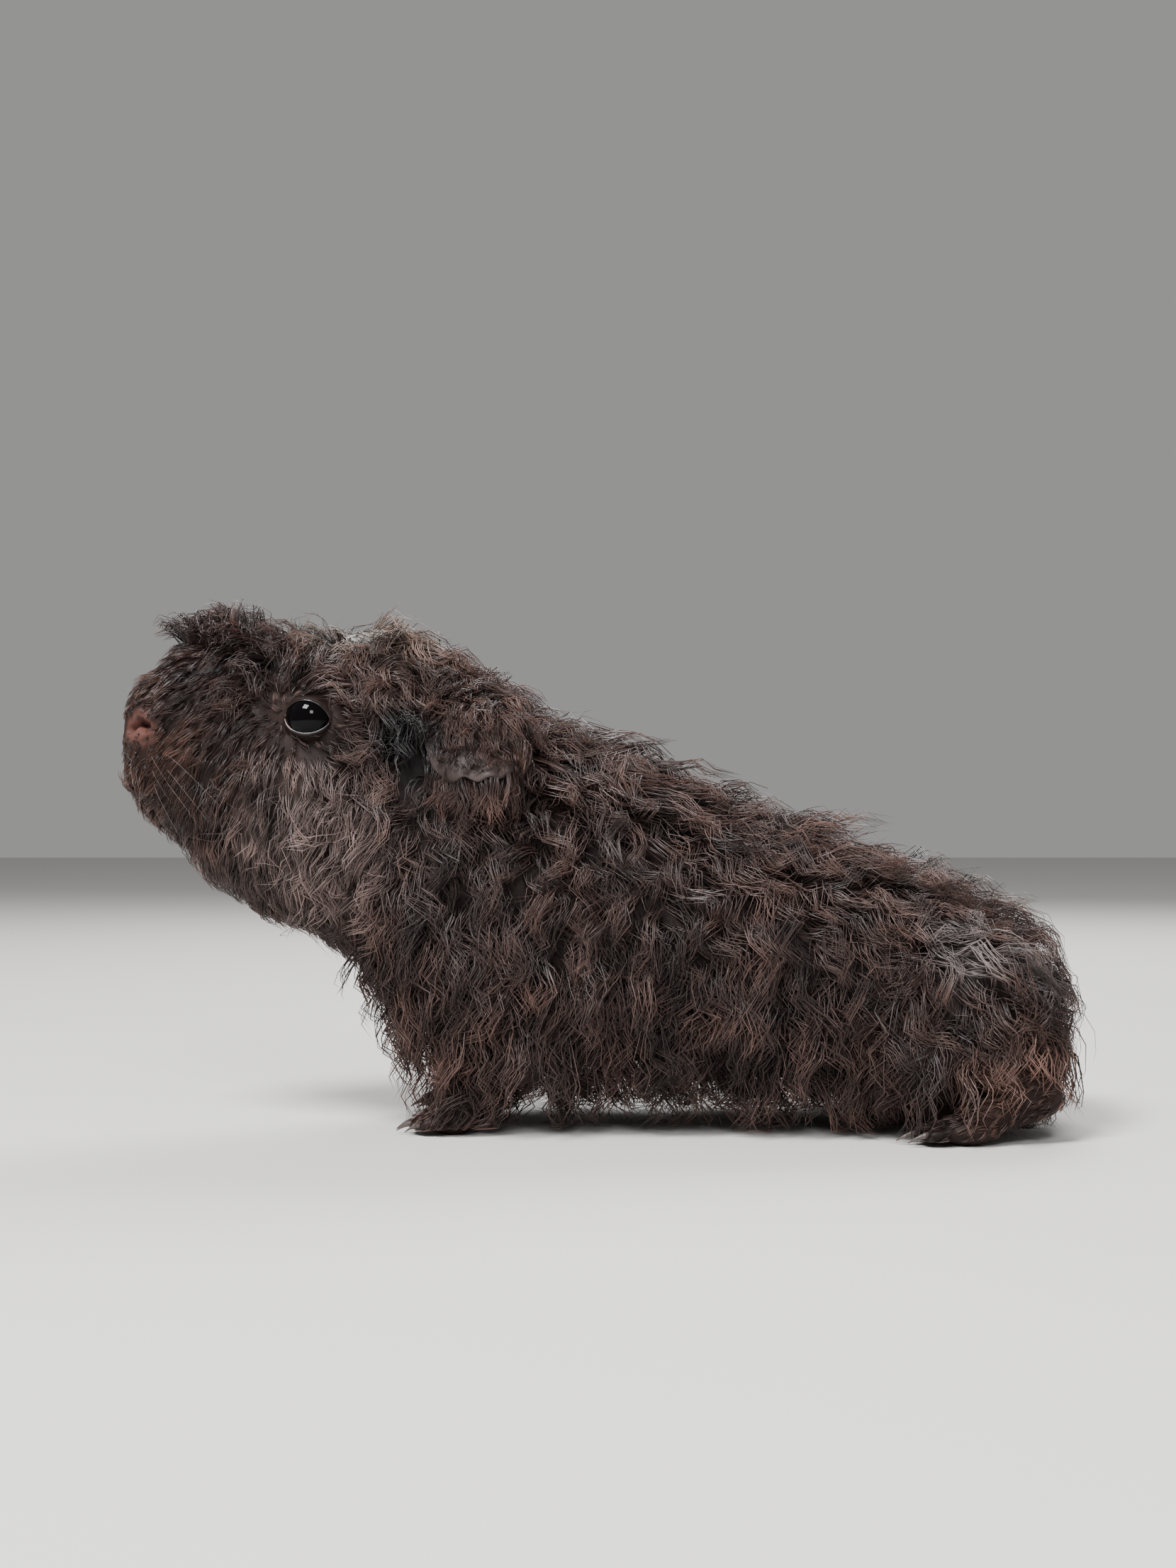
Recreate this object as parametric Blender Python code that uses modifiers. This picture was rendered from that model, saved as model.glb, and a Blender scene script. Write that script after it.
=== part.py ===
"""A still, life-size young merino guinea pig with its head raised.

Metres, +Z up. It faces -X and its left side is towards -Y. The body is one loft
through named stations, the curly coat is wavy locks rooted in that loft, and thin
cuts part the whole into head, neck, torso, rump and legs, each one closed solid.
"""

import math
import random

import bmesh
import bpy
from mathutils import Matrix, Vector
from mathutils.bvhtree import BVHTree

MM = 0.001
GAP = 0.3 * MM  # between parts that touch
SEED = 9  # of the locks' small differences

# Driving sizes of the body, in millimetres, from the rump to the nose. Each station is a plane across
# the body: where it meets the back line (x, z) and the belly line (x, z) over the coat, then its
# half width over the coat and the depth of the coat.
STATIONS = (
    (70.5, 20.0, 70.5, 12.0, 5.0, 4.0),
    (69.5, 27.0, 70.5, 7.0, 15.0, 6.0),
    (65.5, 34.0, 67.0, 4.0, 22.0, 8.0),
    (57.0, 39.5, 58.0, 3.5, 26.0, 9.0),
    (43.0, 45.0, 44.0, 3.0, 27.5, 9.5),
    (28.0, 49.0, 27.0, 3.5, 27.0, 9.5),
    (12.0, 56.0, 9.0, 3.5, 26.5, 9.5),
    (-2.0, 62.5, -9.0, 4.0, 25.5, 9.0),
    (-13.0, 69.0, -26.0, 7.0, 23.5, 8.5),
    (-21.0, 74.5, -35.0, 19.0, 21.0, 7.5),
    (-29.0, 79.0, -44.0, 27.0, 19.5, 6.0),
    (-38.0, 81.0, -53.0, 32.0, 17.8, 4.5),
    (-47.0, 80.5, -60.5, 37.0, 15.5, 4.0),
    (-55.5, 81.8, -66.0, 42.0, 13.2, 3.5),
    (-62.8, 81.0, -70.5, 46.5, 10.8, 2.5),
    (-69.2, 75.5, -73.3, 51.0, 8.4, 1.6),
    (-73.2, 68.0, -74.8, 56.5, 5.4, 1.0),
)
EGG = 0.12  # how far the widest line of a section sits below its middle
CORE_SHARE = 0.5  # how deep in the coat the solid core starts, where locks grow
RINGS = 26
RING_POINTS = 14
# Places s along the stations, from 0 at the rump to 1 at the nose, between which one form gives way to
# another.
CHEEKS_START = (0.66, 0.78)
CROWN_START = (0.64, 0.70)
CROWN_END = (0.86, 0.95)
RUMP_POLE = 1.2 * MM  # how far the closed ends bulge
NOSE_POLE = -1.0 * MM

CREST = Vector((-37.0, 0.0, 80.0)) * MM  # the whorl on the forehead
CREST_RADIUS = 24.0 * MM
CREST_DEPTH = 4.5 * MM

EYE = Vector((-43.8, 12.4, 63.0)) * MM  # the right eye; the left one mirrors it
EYE_RADIUS = 4.2 * MM

# The colour and the roughness of each kind of part. None of them is metal.
LOOKS = {
    "head": ((0.084, 0.060, 0.053, 1.0), 0.60),
    "neck": ((0.048, 0.033, 0.030, 1.0), 0.60),
    "torso": ((0.056, 0.038, 0.034, 1.0), 0.60),
    "rump": ((0.060, 0.043, 0.039, 1.0), 0.60),
    "foreleg": ((0.052, 0.036, 0.032, 1.0), 0.60),
    "hindleg": ((0.066, 0.043, 0.037, 1.0), 0.60),
    "ear": ((0.130, 0.092, 0.084, 1.0), 0.50),
    "eye": ((0.006, 0.006, 0.008, 1.0), 0.05),
}


def dress(part):
    """Gives a part a material of its own, in the look of its kind."""
    colour, roughness = LOOKS[part.name.split("_")[0]]
    made = bpy.data.materials.new(part.name + "_surface")
    made.use_nodes = True
    shader = made.node_tree.nodes["Principled BSDF"]
    shader.inputs["Base Color"].default_value = colour
    shader.inputs["Roughness"].default_value = roughness
    shader.inputs["Metallic"].default_value = 0.0
    part.data.materials.clear()
    part.data.materials.append(made)


def smoothstep(low, high, value):
    t = min(max((value - low) / (high - low), 0.0), 1.0)
    return t * t * (3 - 2 * t)


def station(s):
    """The six station values, in metres, at s from 0 at the rump to 1 at the nose."""
    last = len(STATIONS) - 1
    place = min(max(s, 0.0), 1.0) * last
    i = min(int(place), last - 1)
    t = place - i
    rows = [STATIONS[min(max(i + k, 0), last)] for k in (-1, 0, 1, 2)]
    return [
        0.5 * MM * (2 * b + (c - a) * t + (2 * a - 5 * b + 4 * c - d) * t**2 + (3 * b - a - 3 * c + d) * t**3)
        for a, b, c, d in zip(*rows)
    ]


def core_depth(s, angle, coat):
    """How far the core lies under the coat's surface: half the coat on the body, none on the face."""
    body = CORE_SHARE * coat * (1 - smoothstep(*CHEEKS_START, s))
    crown = smoothstep(*CROWN_START, s) * (1 - smoothstep(*CROWN_END, s))
    return max(body, CREST_DEPTH * crown * max(math.cos(angle), 0.0) ** 1.5)


def body_point(s, angle):
    """A point of the core. The angle is 0 at the back line and 90 degrees on the right side."""
    top_x, top_z, low_x, low_z, half_width, coat = station(s)
    middle = Vector((top_x + low_x, 0, top_z + low_z)) / 2
    up = Vector((top_x - low_x, 0, top_z - low_z)) / 2
    inset = min(core_depth(s, angle, coat), 0.7 * half_width)
    side = (half_width - inset) * math.sin(angle) * (1 - EGG * math.cos(angle))
    return middle + up * (math.cos(angle) * (up.length - inset) / up.length) + Vector((0, side, 0))


def body_normal(s, angle):
    step = 0.01
    along = body_point(min(s + step, 1), angle) - body_point(max(s - step, 0), angle)
    around = body_point(s, angle + step) - body_point(s, angle - step)
    return around.cross(along).normalized()


def object_from(name, bm, collection):
    bmesh.ops.recalc_face_normals(bm, faces=bm.faces)
    mesh = bpy.data.meshes.new(name)
    bm.to_mesh(mesh)
    bm.free()
    made = bpy.data.objects.new(name, mesh)
    collection.objects.link(made)
    return made


def move(obj, old, new):
    old.objects.unlink(obj)
    new.objects.link(obj)


def applied(obj):
    """The object with its modifiers applied to its mesh."""
    shown = obj.evaluated_get(bpy.context.evaluated_depsgraph_get())
    mesh = bpy.data.meshes.new_from_object(shown)
    obj.modifiers.clear()
    obj.data = mesh
    return obj


def loft_core(collection):
    """The body under the locks: a loft between unlike sections, closed at the rump and the nose."""
    bm = bmesh.new()
    rings = []
    for r in range(RINGS + 1):
        s = r / RINGS
        rings.append([bm.verts.new(body_point(s, math.tau * k / RING_POINTS)) for k in range(RING_POINTS)])
    for lower, upper in zip(rings, rings[1:]):
        for k in range(RING_POINTS):
            n = (k + 1) % RING_POINTS
            bm.faces.new((lower[k], lower[n], upper[n], upper[k]))
    for ring, bulge in ((rings[0], RUMP_POLE), (rings[-1], NOSE_POLE)):
        centre = sum((v.co for v in ring), Vector()) / RING_POINTS
        pole = bm.verts.new(centre + Vector((bulge, 0, 0)))
        for k in range(RING_POINTS):
            bm.faces.new((ring[k], ring[(k + 1) % RING_POINTS], pole))
    return object_from("core", bm, collection)


def ellipsoid(name, centre, radii, collection, turn=(0, 0, 0), segments=16, rings=10, grow=0.0):
    """A turned ellipsoid. centre and radii are in millimetres, and turn is (x, y, z) in degrees."""
    bm = bmesh.new()
    bmesh.ops.create_uvsphere(bm, u_segments=segments, v_segments=rings, radius=1.0)
    size = [r * MM + grow for r in radii]
    place = Matrix.Translation(Vector(centre) * MM)
    for axis, angle in zip("ZYX", reversed(turn)):
        place = place @ Matrix.Rotation(math.radians(angle), 4, axis)
    place = place @ Matrix.Diagonal((*size, 1.0))
    bmesh.ops.transform(bm, matrix=place, verts=bm.verts)
    return object_from(name, bm, collection)


def taper(name, start, end, start_radius, end_radius, collection, sides=8, grow=0.0):
    """A round taper between two points, in millimetres, with flat ends."""
    a = Vector(start) * MM
    b = Vector(end) * MM
    bm = bmesh.new()
    bmesh.ops.create_cone(
        bm,
        cap_ends=True,
        segments=sides,
        radius1=start_radius * MM + grow,
        radius2=end_radius * MM + grow,
        depth=(b - a).length + 2 * grow,
    )
    turn = (b - a).to_track_quat("Z", "Y").to_matrix().to_4x4()
    bmesh.ops.transform(bm, matrix=Matrix.Translation((a + b) / 2) @ turn, verts=bm.verts)
    return object_from(name, bm, collection)


def mirrored(centre, side):
    """A point of the right side, in millimetres, on the side asked for: 1 right, -1 left."""
    return (centre[0], centre[1] * side, centre[2])


# The coat on the sides leans forward in front of the middle and back behind it, by so much of its fall.
LEAN_PER_METRE = 9.0
MOST_LEAN = (-0.55, 0.7)


def lie_at(point, normal):
    """The way the coat lies: down the sides, back along the spine, and out from the whorl on the crest."""
    lean = min(max(LEAN_PER_METRE * point.x, MOST_LEAN[0]), MOST_LEAN[1])
    sides = Vector((lean, 0, -1))
    spine = Vector((1, 0, -0.35))
    topness = smoothstep(0.45, 0.95, normal.z)
    under = smoothstep(0.3, 0.9, -normal.z)
    field = sides.lerp(spine, max(topness, under))
    field.y += 0.5 * math.copysign(1, point.y) * (1 - abs(normal.y)) * (1 - topness)
    away = point - CREST
    crest = 1 - smoothstep(0.75, 1.15, away.length / CREST_RADIUS)
    if normal.z > 0.1:
        field = field.normalized().lerp(away.normalized(), crest)
    field -= normal * field.dot(normal)
    return field.normalized()


# A lock's shape at steps from root to tip: how far along it, how high above the core as a share
# of its lift, and how wide as a share of its width.
LOCK_STEPS = ((0.0, -0.55, 0.75), (0.34, 0.6, 1.0), (0.76, 0.95, 0.76))
LOCK_TIP = (1.0, 0.9)
# Its cross-section: shares of the half width and half thickness, a flat diamond.
LOCK_SECTION = ((-1.0, -0.1), (0.0, 1.0), (1.0, -0.1), (0.0, -1.0))
LOCK_BENDS = 5.2  # radians of its wave from root to tip
LOWEST_LOCK = 1.2 * MM  # its middle line stays this far above the floor


def lock(tree, root, normal, lie, size, wave, phase, curl, follow, collection):
    """One tapered, wavy lock with its root sunk in the core. size is (length, width, thickness, lift)."""
    length, width, thickness, lift = size
    across = normal.cross(lie)

    def middle(t, height):
        flat = root + lie * (length * t) + across * (wave * math.sin(LOCK_BENDS * t + phase) * t)
        near, near_normal = tree.find_nearest(flat)[:2]
        point = (flat + normal * height).lerp(near + near_normal * height, follow)
        point.z = max(point.z, LOWEST_LOCK + 0.6 * thickness * (1 - t))
        return point, normal.lerp(near_normal, follow).normalized()

    places = [middle(t, h * lift) for t, h, _ in LOCK_STEPS]
    tip, _ = middle(LOCK_TIP[0], LOCK_TIP[1] * lift + curl)
    points = [p for p, _ in places] + [tip]
    bm = bmesh.new()
    rings = []
    for i, (_, _, share) in enumerate(LOCK_STEPS):
        forward = (points[i + 1] - points[max(i - 1, 0)]).normalized()
        side = forward.cross(places[i][1]).normalized()
        rise = side.cross(forward)
        half_width = width * share / 2
        half_thickness = thickness * share / 2
        corners = [points[i] + side * (half_width * x) + rise * (half_thickness * y) for x, y in LOCK_SECTION]
        rings.append([bm.verts.new(corner) for corner in corners])
    count = len(LOCK_SECTION)
    bm.faces.new(rings[0])
    for lower, upper in zip(rings, rings[1:]):
        for k in range(count):
            n = (k + 1) % count
            bm.faces.new((lower[k], lower[n], upper[n], upper[k]))
    end = bm.verts.new(tip)
    for k in range(count):
        bm.faces.new((rings[-1][k], rings[-1][(k + 1) % count], end))
    bmesh.ops.triangulate(bm, faces=bm.faces)
    return object_from("lock", bm, collection)


# Rows of locks across the body, between two places s along it, and how far apart they grow in a row.
LOCK_ROWS = 11
FIRST_ROW = 0.06
LAST_ROW = 0.665
LOCK_PITCH = 15.6 * MM
BARE_ROUND_EYE = 12.5 * MM
BELLY_SLOPE = -0.72  # the skin that faces down more than this grows no locks of its own


def body_locks(tree, rng, collection):
    """Rows of locks round the body, from the rump to the back of the head."""
    for row in range(LOCK_ROWS):
        s = FIRST_ROW + (LAST_ROW - FIRST_ROW) * row / (LOCK_ROWS - 1)
        around = max(7, round(math.tau * 1.05 * station(s)[4] / LOCK_PITCH))
        for k in range(around):
            angle = math.tau * (k + 0.5 * (row % 2) + rng.uniform(-0.12, 0.12)) / around
            where = s + rng.uniform(-0.008, 0.008)
            root = body_point(where, angle)
            normal = body_normal(where, angle)
            from_eye = (Vector((root.x, abs(root.y), root.z)) - EYE).length
            if normal.z < BELLY_SLOPE or from_eye < BARE_ROUND_EYE:
                continue
            lie = lie_at(root, normal)
            lie.rotate(Matrix.Rotation(rng.uniform(-0.4, 0.4), 3, normal))
            size = (
                (16.0 + 3.0 * rng.random()) * MM,
                (10.8 + 2.2 * rng.random()) * MM,
                (3.6 + 0.8 * rng.random()) * MM,
                0.5 * station(where)[5],
            )
            follow = 1 - 0.7 * smoothstep(0.0, 0.5, -normal.z)
            wave = rng.uniform(1.0, 2.4) * MM
            phase = rng.uniform(0, 6.28)
            curl = rng.uniform(0.0, 2.2) * MM
            lock(tree, root, normal, lie, size, wave, phase, curl, follow, collection)


# The crest's rings of locks, in millimetres: how far from the whorl, how many, how long, and how far they
# stand out.
CREST_RINGS = ((5.0, 4, 9.0, 2.6), (12.5, 10, 10.0, 3.4))
CREST_LOCK_WIDTH = 7.4 * MM


def crest_locks(tree, rng, collection):
    """The crest: locks that grow out of the whorl on the forehead, the front ones standing up as a tuft."""
    for ring, (radius, count, length, lift) in enumerate(CREST_RINGS):
        for k in range(count):
            turn = math.tau * (k + 0.5 * ring + rng.uniform(-0.1, 0.1)) / count
            flat = CREST + Vector((math.cos(turn), 0.85 * math.sin(turn), 0)) * radius * MM
            root, normal = tree.find_nearest(flat)[:2]
            lie = root - CREST
            lie = (lie - normal * lie.dot(normal)).normalized()
            forward = max(-lie.x, 0.0)
            size = (length * MM, CREST_LOCK_WIDTH, (2.8 + 2.2 * forward) * MM, lift * MM)
            wave = rng.uniform(0.4, 1.2) * MM
            phase = rng.uniform(0, 6.28)
            curl = (0.4 + 1.2 * forward) * MM
            lock(tree, root, normal, lie, size, wave, phase, curl, 1.0, collection)


# The skirt's locks on each side, in millimetres: how many, where the first grows, and how far apart they are.
SKIRT_COUNT = 8
SKIRT_START = -25.0
SKIRT_PITCH = 9.2
SKIRT_FOLLOW = 0.15  # how closely they keep to the body


def skirt_locks(tree, rng, collection):
    """Locks that hang from the lower sides nearly to the floor, between and over the legs."""
    for side in (1, -1):
        for k in range(SKIRT_COUNT):
            x = SKIRT_START + SKIRT_PITCH * k + rng.uniform(-0.8, 0.8)
            reach = 21.0 - 3.0 * smoothstep(45.0, 65.0, x) - 3.5 * smoothstep(-12.0, -24.0, x)
            root, normal = tree.find_nearest(Vector((x, side * reach, 17.0 + 2.0 * rng.random())) * MM)[:2]
            lie = Vector((rng.uniform(-0.25, 0.25) - 0.3 * smoothstep(0.0, -25.0, x), -0.12 * side, -1.0))
            lie = (lie - normal * lie.dot(normal)).normalized()
            size = (root.z - (2.6 + 1.2 * rng.random()) * MM, 9.4 * MM, 3.4 * MM, 3.0 * MM)
            wave = rng.uniform(0.5, 1.6) * MM
            phase = rng.uniform(0, 6.28)
            lock(tree, root, normal, lie, size, wave, phase, 0.5 * MM, SKIRT_FOLLOW, collection)


def head_forms(collection):
    """The forms of the face: whisker pads parted by the cleft lip, nose pad, chin and eyelids."""
    for side in (1, -1):
        ellipsoid("whisker_pad", mirrored((-70.2, 3.1, 55.6), side), (4.6, 4.6, 5.6), collection, segments=12, rings=8)
        eyelids(side, collection)
    ellipsoid("nose_pad", (-73.4, 0, 62.6), (2.4, 3.7, 2.7), collection, segments=12, rings=7)
    ellipsoid("chin", (-68.4, 0, 49.6), (3.4, 4.0, 3.3), collection, segments=12, rings=7)


# The eye looks out to the side and a little forward, and the line of its lids falls towards the ear.
EYE_LOOK = (-0.22, 1.0, 0.08)
LID_FALL = math.radians(9)
LID_HALF_LENGTH = 3.7 * MM
LID_HALF_HEIGHT = 2.85 * MM
LID_HEIGHT = 2.6 * MM  # over the middle of the eyeball
LID_ROLL = 1.0 * MM  # half as thick as the lids
LID_SEGMENTS = 16
LID_SIDES = 5


def eye_matrix(side):
    """From the lids' own axes to the eye's: their Z looks out of the socket and their X runs to the ear."""
    look = Vector((EYE_LOOK[0], EYE_LOOK[1] * side, EYE_LOOK[2])).normalized()
    along = Vector((math.cos(LID_FALL), 0, -math.sin(LID_FALL)))
    along = (along - look * along.dot(look)).normalized()
    turn = Matrix((along, look.cross(along), look)).transposed().to_4x4()
    return Matrix.Translation((EYE.x, EYE.y * side, EYE.z)) @ turn


def eyelids(side, collection):
    """A raised rim round the eye, the upper and lower lid in one closed ring drawn out lengthwise."""
    bm = bmesh.new()
    rings = []
    for i in range(LID_SEGMENTS):
        turn = math.tau * i / LID_SEGMENTS
        middle = Vector((math.cos(turn) * LID_HALF_LENGTH, math.sin(turn) * LID_HALF_HEIGHT, LID_HEIGHT))
        ring = []
        for k in range(LID_SIDES):
            roll = math.tau * k / LID_SIDES
            out = math.cos(roll) * LID_ROLL
            rise = math.sin(roll) * LID_ROLL
            ring.append(bm.verts.new(middle + Vector((math.cos(turn) * out, math.sin(turn) * out, rise))))
        rings.append(ring)
    for i in range(LID_SEGMENTS):
        lower, upper = rings[i], rings[(i + 1) % LID_SEGMENTS]
        for k in range(LID_SIDES):
            n = (k + 1) % LID_SIDES
            bm.faces.new((lower[k], lower[n], upper[n], upper[k]))
    bmesh.ops.transform(bm, matrix=eye_matrix(side), verts=bm.verts)
    return object_from("lids", bm, collection)


def eyeball(side, name, collection, grow=0.0):
    centre = (EYE.x / MM, side * EYE.y / MM, EYE.z / MM)
    radius = EYE_RADIUS / MM
    return ellipsoid(name, centre, (radius, radius, radius), collection, segments=14, rings=9, grow=grow)


# The ear: a drooping petal, in millimetres. Root middle, tip middle, and half widths from root to tip.
EAR_ROOT = Vector((-22.0, 12.4, 71.5))
EAR_TIP = Vector((-17.5, 20.0, 52.5))
EAR_OUT = Vector((0.05, 0.95, 0.35))  # the way its outer face looks
EAR_HALF_WIDTHS = (5.0, 7.4, 8.4, 8.2, 6.6)
EAR_THICKNESS = 1.1
EAR_CUP = 3.0  # how deep its hollow is at the tip
EAR_DROOP = 1.6  # how far it bows out between root and tip
EAR_ROUNDING = 3.2  # how much shorter its corners are
EAR_NOTCH = 1.3  # how deep the scallop in its edge is
EAR_NOTCH_PLACE = 0.45
EAR_NOTCH_WIDTH = 0.3
EAR_STEPS_ACROSS = 6
ROOM_THICKNESS = 2.6  # how much thicker the room for it is, as a share of how far the room is grown


def ear(side, name, collection, grow=0.0):
    """A cupped, scalloped petal of even thickness, its hollow turned to the cheek. Grown, it is its room."""
    down = EAR_TIP - EAR_ROOT
    ahead = down.normalized()
    out = (EAR_OUT - ahead * EAR_OUT.dot(ahead)).normalized()
    across = ahead.cross(out)
    wider = grow / MM
    bm = bmesh.new()
    rows = []
    for i, half_width in enumerate(EAR_HALF_WIDTHS):
        u = i / (len(EAR_HALF_WIDTHS) - 1)
        row = []
        for k in range(EAR_STEPS_ACROSS + 1):
            v = 2 * k / EAR_STEPS_ACROSS - 1
            scallop = math.exp(-(((v - EAR_NOTCH_PLACE) / EAR_NOTCH_WIDTH) ** 2))
            notch = 0.0 if grow else EAR_NOTCH * scallop * u**4
            rounding = EAR_ROUNDING * abs(v) ** 2.5 * u**3
            length = u * (down.length - rounding - notch) + (2 * u - 1) * wider
            cup = EAR_CUP * (0.4 + 0.6 * u) * (0.9 - (v * (1 + wider / half_width)) ** 2)
            bow = EAR_DROOP * math.sin(math.pi * u)
            place = EAR_ROOT + ahead * length + across * (v * (half_width + wider)) + out * (cup + bow)
            row.append(bm.verts.new(Vector((place.x, place.y * side, place.z)) * MM))
        rows.append(row)
    for lower, upper in zip(rows, rows[1:]):
        for k in range(EAR_STEPS_ACROSS):
            bm.faces.new((lower[k], lower[k + 1], upper[k + 1], upper[k]))
    made = object_from(name, bm, collection)
    sheet = made.modifiers.new("thickness", "SOLIDIFY")
    sheet.thickness = EAR_THICKNESS * MM + ROOM_THICKNESS * grow
    sheet.offset = 0
    return applied(made)


# The legs of the right side, in millimetres. coat is the ellipsoid whose share of the coat belongs to the
# leg: its centre and radii. tapers are (start, end, start radius, end radius), and balls (centre, radii) are
# the joints, the last one the ball of the foot. toes are the places (x, y) of their tips, and claw is how far
# a claw reaches past its toe.
FORELEG = {
    "coat": ((-13.0, 22.0, 15.0), (12.0, 10.0, 14.0)),
    "tapers": (((-14.0, 13.5, 15.0), (-19.5, 14.0, 4.0), 4.6, 2.9),),
    "balls": (((-14.0, 13.5, 16.0), (6.5, 4.8, 6.5)), ((-22.0, 14.2, 2.1), (4.6, 3.3, 2.8))),
    "toes": ((-26.2, 11.6), (-27.4, 13.4), (-27.2, 15.3), (-25.8, 17.0)),
    "claw": 2.0,
}
HINDLEG = {
    "coat": ((53.0, 24.0, 15.0), (17.0, 11.5, 17.5)),
    "tapers": (
        ((57.0, 22.0, 12.5), (65.9, 23.5, 7.2), 4.4, 3.0),
        ((66.2, 23.5, 6.6), (55.0, 26.0, 2.6), 3.0, 2.9),
    ),
    "balls": (
        ((56.5, 21.5, 13.0), (7.0, 5.0, 6.5)),
        ((66.2, 23.5, 7.0), (3.2, 3.0, 3.2)),
        ((54.5, 26.0, 1.9), (5.0, 3.9, 2.5)),
    ),
    "toes": ((49.0, 23.6), (47.8, 26.2), (49.2, 28.8)),
    "claw": 2.6,
}
TOE_ROOT_HEIGHT = 2.0
TOE_RADII = (1.55, 1.2)
TOE_TIP_HEIGHT = 1.1
TOE_TIP_RADII = (1.5, 1.25, 1.25)
CLAW_ROOT_HEIGHT = 1.5
CLAW_TIP_HEIGHT = 0.45
CLAW_RADII = (0.75, 0.16)


def toe(tip, ball, claw, side, collection, grow):
    """One toe in front of the ball of the foot, with its claw."""
    x, y = tip
    root = (ball[0], side * (y + ball[1]) / 2, TOE_ROOT_HEIGHT)
    end = (x, side * y, TOE_TIP_HEIGHT)
    taper("toe", root, end, *TOE_RADII, collection, sides=6, grow=grow)
    ellipsoid("toe_tip", end, TOE_TIP_RADII, collection, segments=6, rings=4, grow=grow)
    claw_root = (x, side * y, CLAW_ROOT_HEIGHT)
    claw_tip = (x - claw, side * y, CLAW_TIP_HEIGHT)
    taper("claw", claw_root, claw_tip, *CLAW_RADII, collection, sides=4, grow=grow)


def leg_pieces(limb, side, collection, grow=0.0):
    """The pieces of a leg under its coat."""
    for start, end, wide, narrow in limb["tapers"]:
        taper("limb", mirrored(start, side), mirrored(end, side), wide, narrow, collection, grow=grow)
    for centre, radii in limb["balls"]:
        ellipsoid("joint", mirrored(centre, side), radii, collection, segments=8, rings=5, grow=grow)
    ball_of_foot = limb["balls"][-1][0]
    for tip in limb["toes"]:
        toe(tip, ball_of_foot, limb["claw"], side, collection, grow)


def boolean(obj, other, operation):
    """obj with a Boolean applied. other is an object or, for a union, a collection that it empties.

    The locks cross one another hundreds of times, which EXACT takes minutes over, so the solver is MANIFOLD.
    """
    modifier = obj.modifiers.new(operation, "BOOLEAN")
    modifier.operation = operation
    modifier.solver = "MANIFOLD"
    if isinstance(other, bpy.types.Collection):
        modifier.operand_type = "COLLECTION"
        modifier.collection = other
    else:
        modifier.object = other
    applied(obj)
    if isinstance(other, bpy.types.Collection):
        for piece in list(other.objects):
            bpy.data.objects.remove(piece)
    return obj


def union(name, pieces, collection):
    """The closed objects in pieces joined as one, in an object of that name in the collection."""
    first = pieces.objects[0]
    move(first, pieces, collection)
    first.name = name
    if len(pieces.objects):
        boolean(first, pieces, "UNION")
    bpy.data.collections.remove(pieces)
    return keep_largest(first)


def keep_largest(obj):
    """Drops every closed surface but the largest, so that a sealed hollow is filled and no scrap floats."""
    bm = bmesh.new()
    bm.from_mesh(obj.data)
    bmesh.ops.triangulate(bm, faces=bm.faces)
    groups = []
    seen = set()
    for face in bm.faces:
        group, todo = [], [face]
        while todo:
            at = todo.pop()
            if at in seen:
                continue
            seen.add(at)
            group.append(at)
            todo.extend(other for edge in at.edges for other in edge.link_faces)
        groups.append(group)
    groups.sort(key=len)
    bmesh.ops.delete(bm, geom=[face for group in groups[:-1] for face in group], context="FACES")
    bm.to_mesh(obj.data)
    bm.free()
    return obj


def new_collection(name):
    made = bpy.data.collections.new(name)
    bpy.context.scene.collection.children.link(made)
    return made


def copy_of(obj, name, collection):
    made = bpy.data.objects.new(name, obj.data.copy())
    collection.objects.link(made)
    return made


def coated_body(collection):
    """The animal without its limbs, ears and eyes: the core, its locks and the forms of the face, in one."""
    rng = random.Random(SEED)
    pieces = new_collection("body")
    core = loft_core(pieces)
    tree = BVHTree.FromObject(core, bpy.context.evaluated_depsgraph_get())
    body_locks(tree, rng, pieces)
    skirt_locks(tree, rng, pieces)
    crest_locks(tree, rng, pieces)
    head_forms(pieces)
    return union("whole", pieces, collection)


COAT_SPHERE = {"segments": 10, "rings": 7}


def leg(whole, name, limb, side, collection):
    """The leg, with its share of the coat."""
    centre, radii = limb["coat"]
    pieces = new_collection(name + "_pieces")
    coat = copy_of(whole, "coat", pieces)
    inside = ellipsoid("inside", mirrored(centre, side), radii, pieces, **COAT_SPHERE)
    keep_largest(boolean(coat, inside, "INTERSECT"))
    bpy.data.objects.remove(inside)
    leg_pieces(limb, side, pieces)
    return union(name, pieces, collection)


def sleeve(limb, side, cutters):
    """The room that the body leaves for a leg."""
    centre, radii = limb["coat"]
    pieces = new_collection("sleeve_pieces")
    ellipsoid("outside", mirrored(centre, side), radii, pieces, grow=GAP, **COAT_SPHERE)
    leg_pieces(limb, side, pieces, grow=GAP)
    return union("sleeve", pieces, cutters)


def face_openings(cutters):
    """The nostrils, the line of the mouth and the cleft of the upper lip."""
    ellipsoid("mouth", (-73.0, 0, 50.6), (6.0, 4.8, 0.55), cutters, (0, -8, 0), 14, 6)
    ellipsoid("cleft", (-76.0, 0, 57.0), (2.2, 0.4, 4.2), cutters, (0, -8, 0), 8, 8)
    for side in (1, -1):
        turn = (30 * side, 0, -28 * side)
        ellipsoid("nostril", mirrored((-75.0, 1.9, 62.3), side), (1.7, 0.75, 1.0), cutters, turn, 10, 8)


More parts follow.
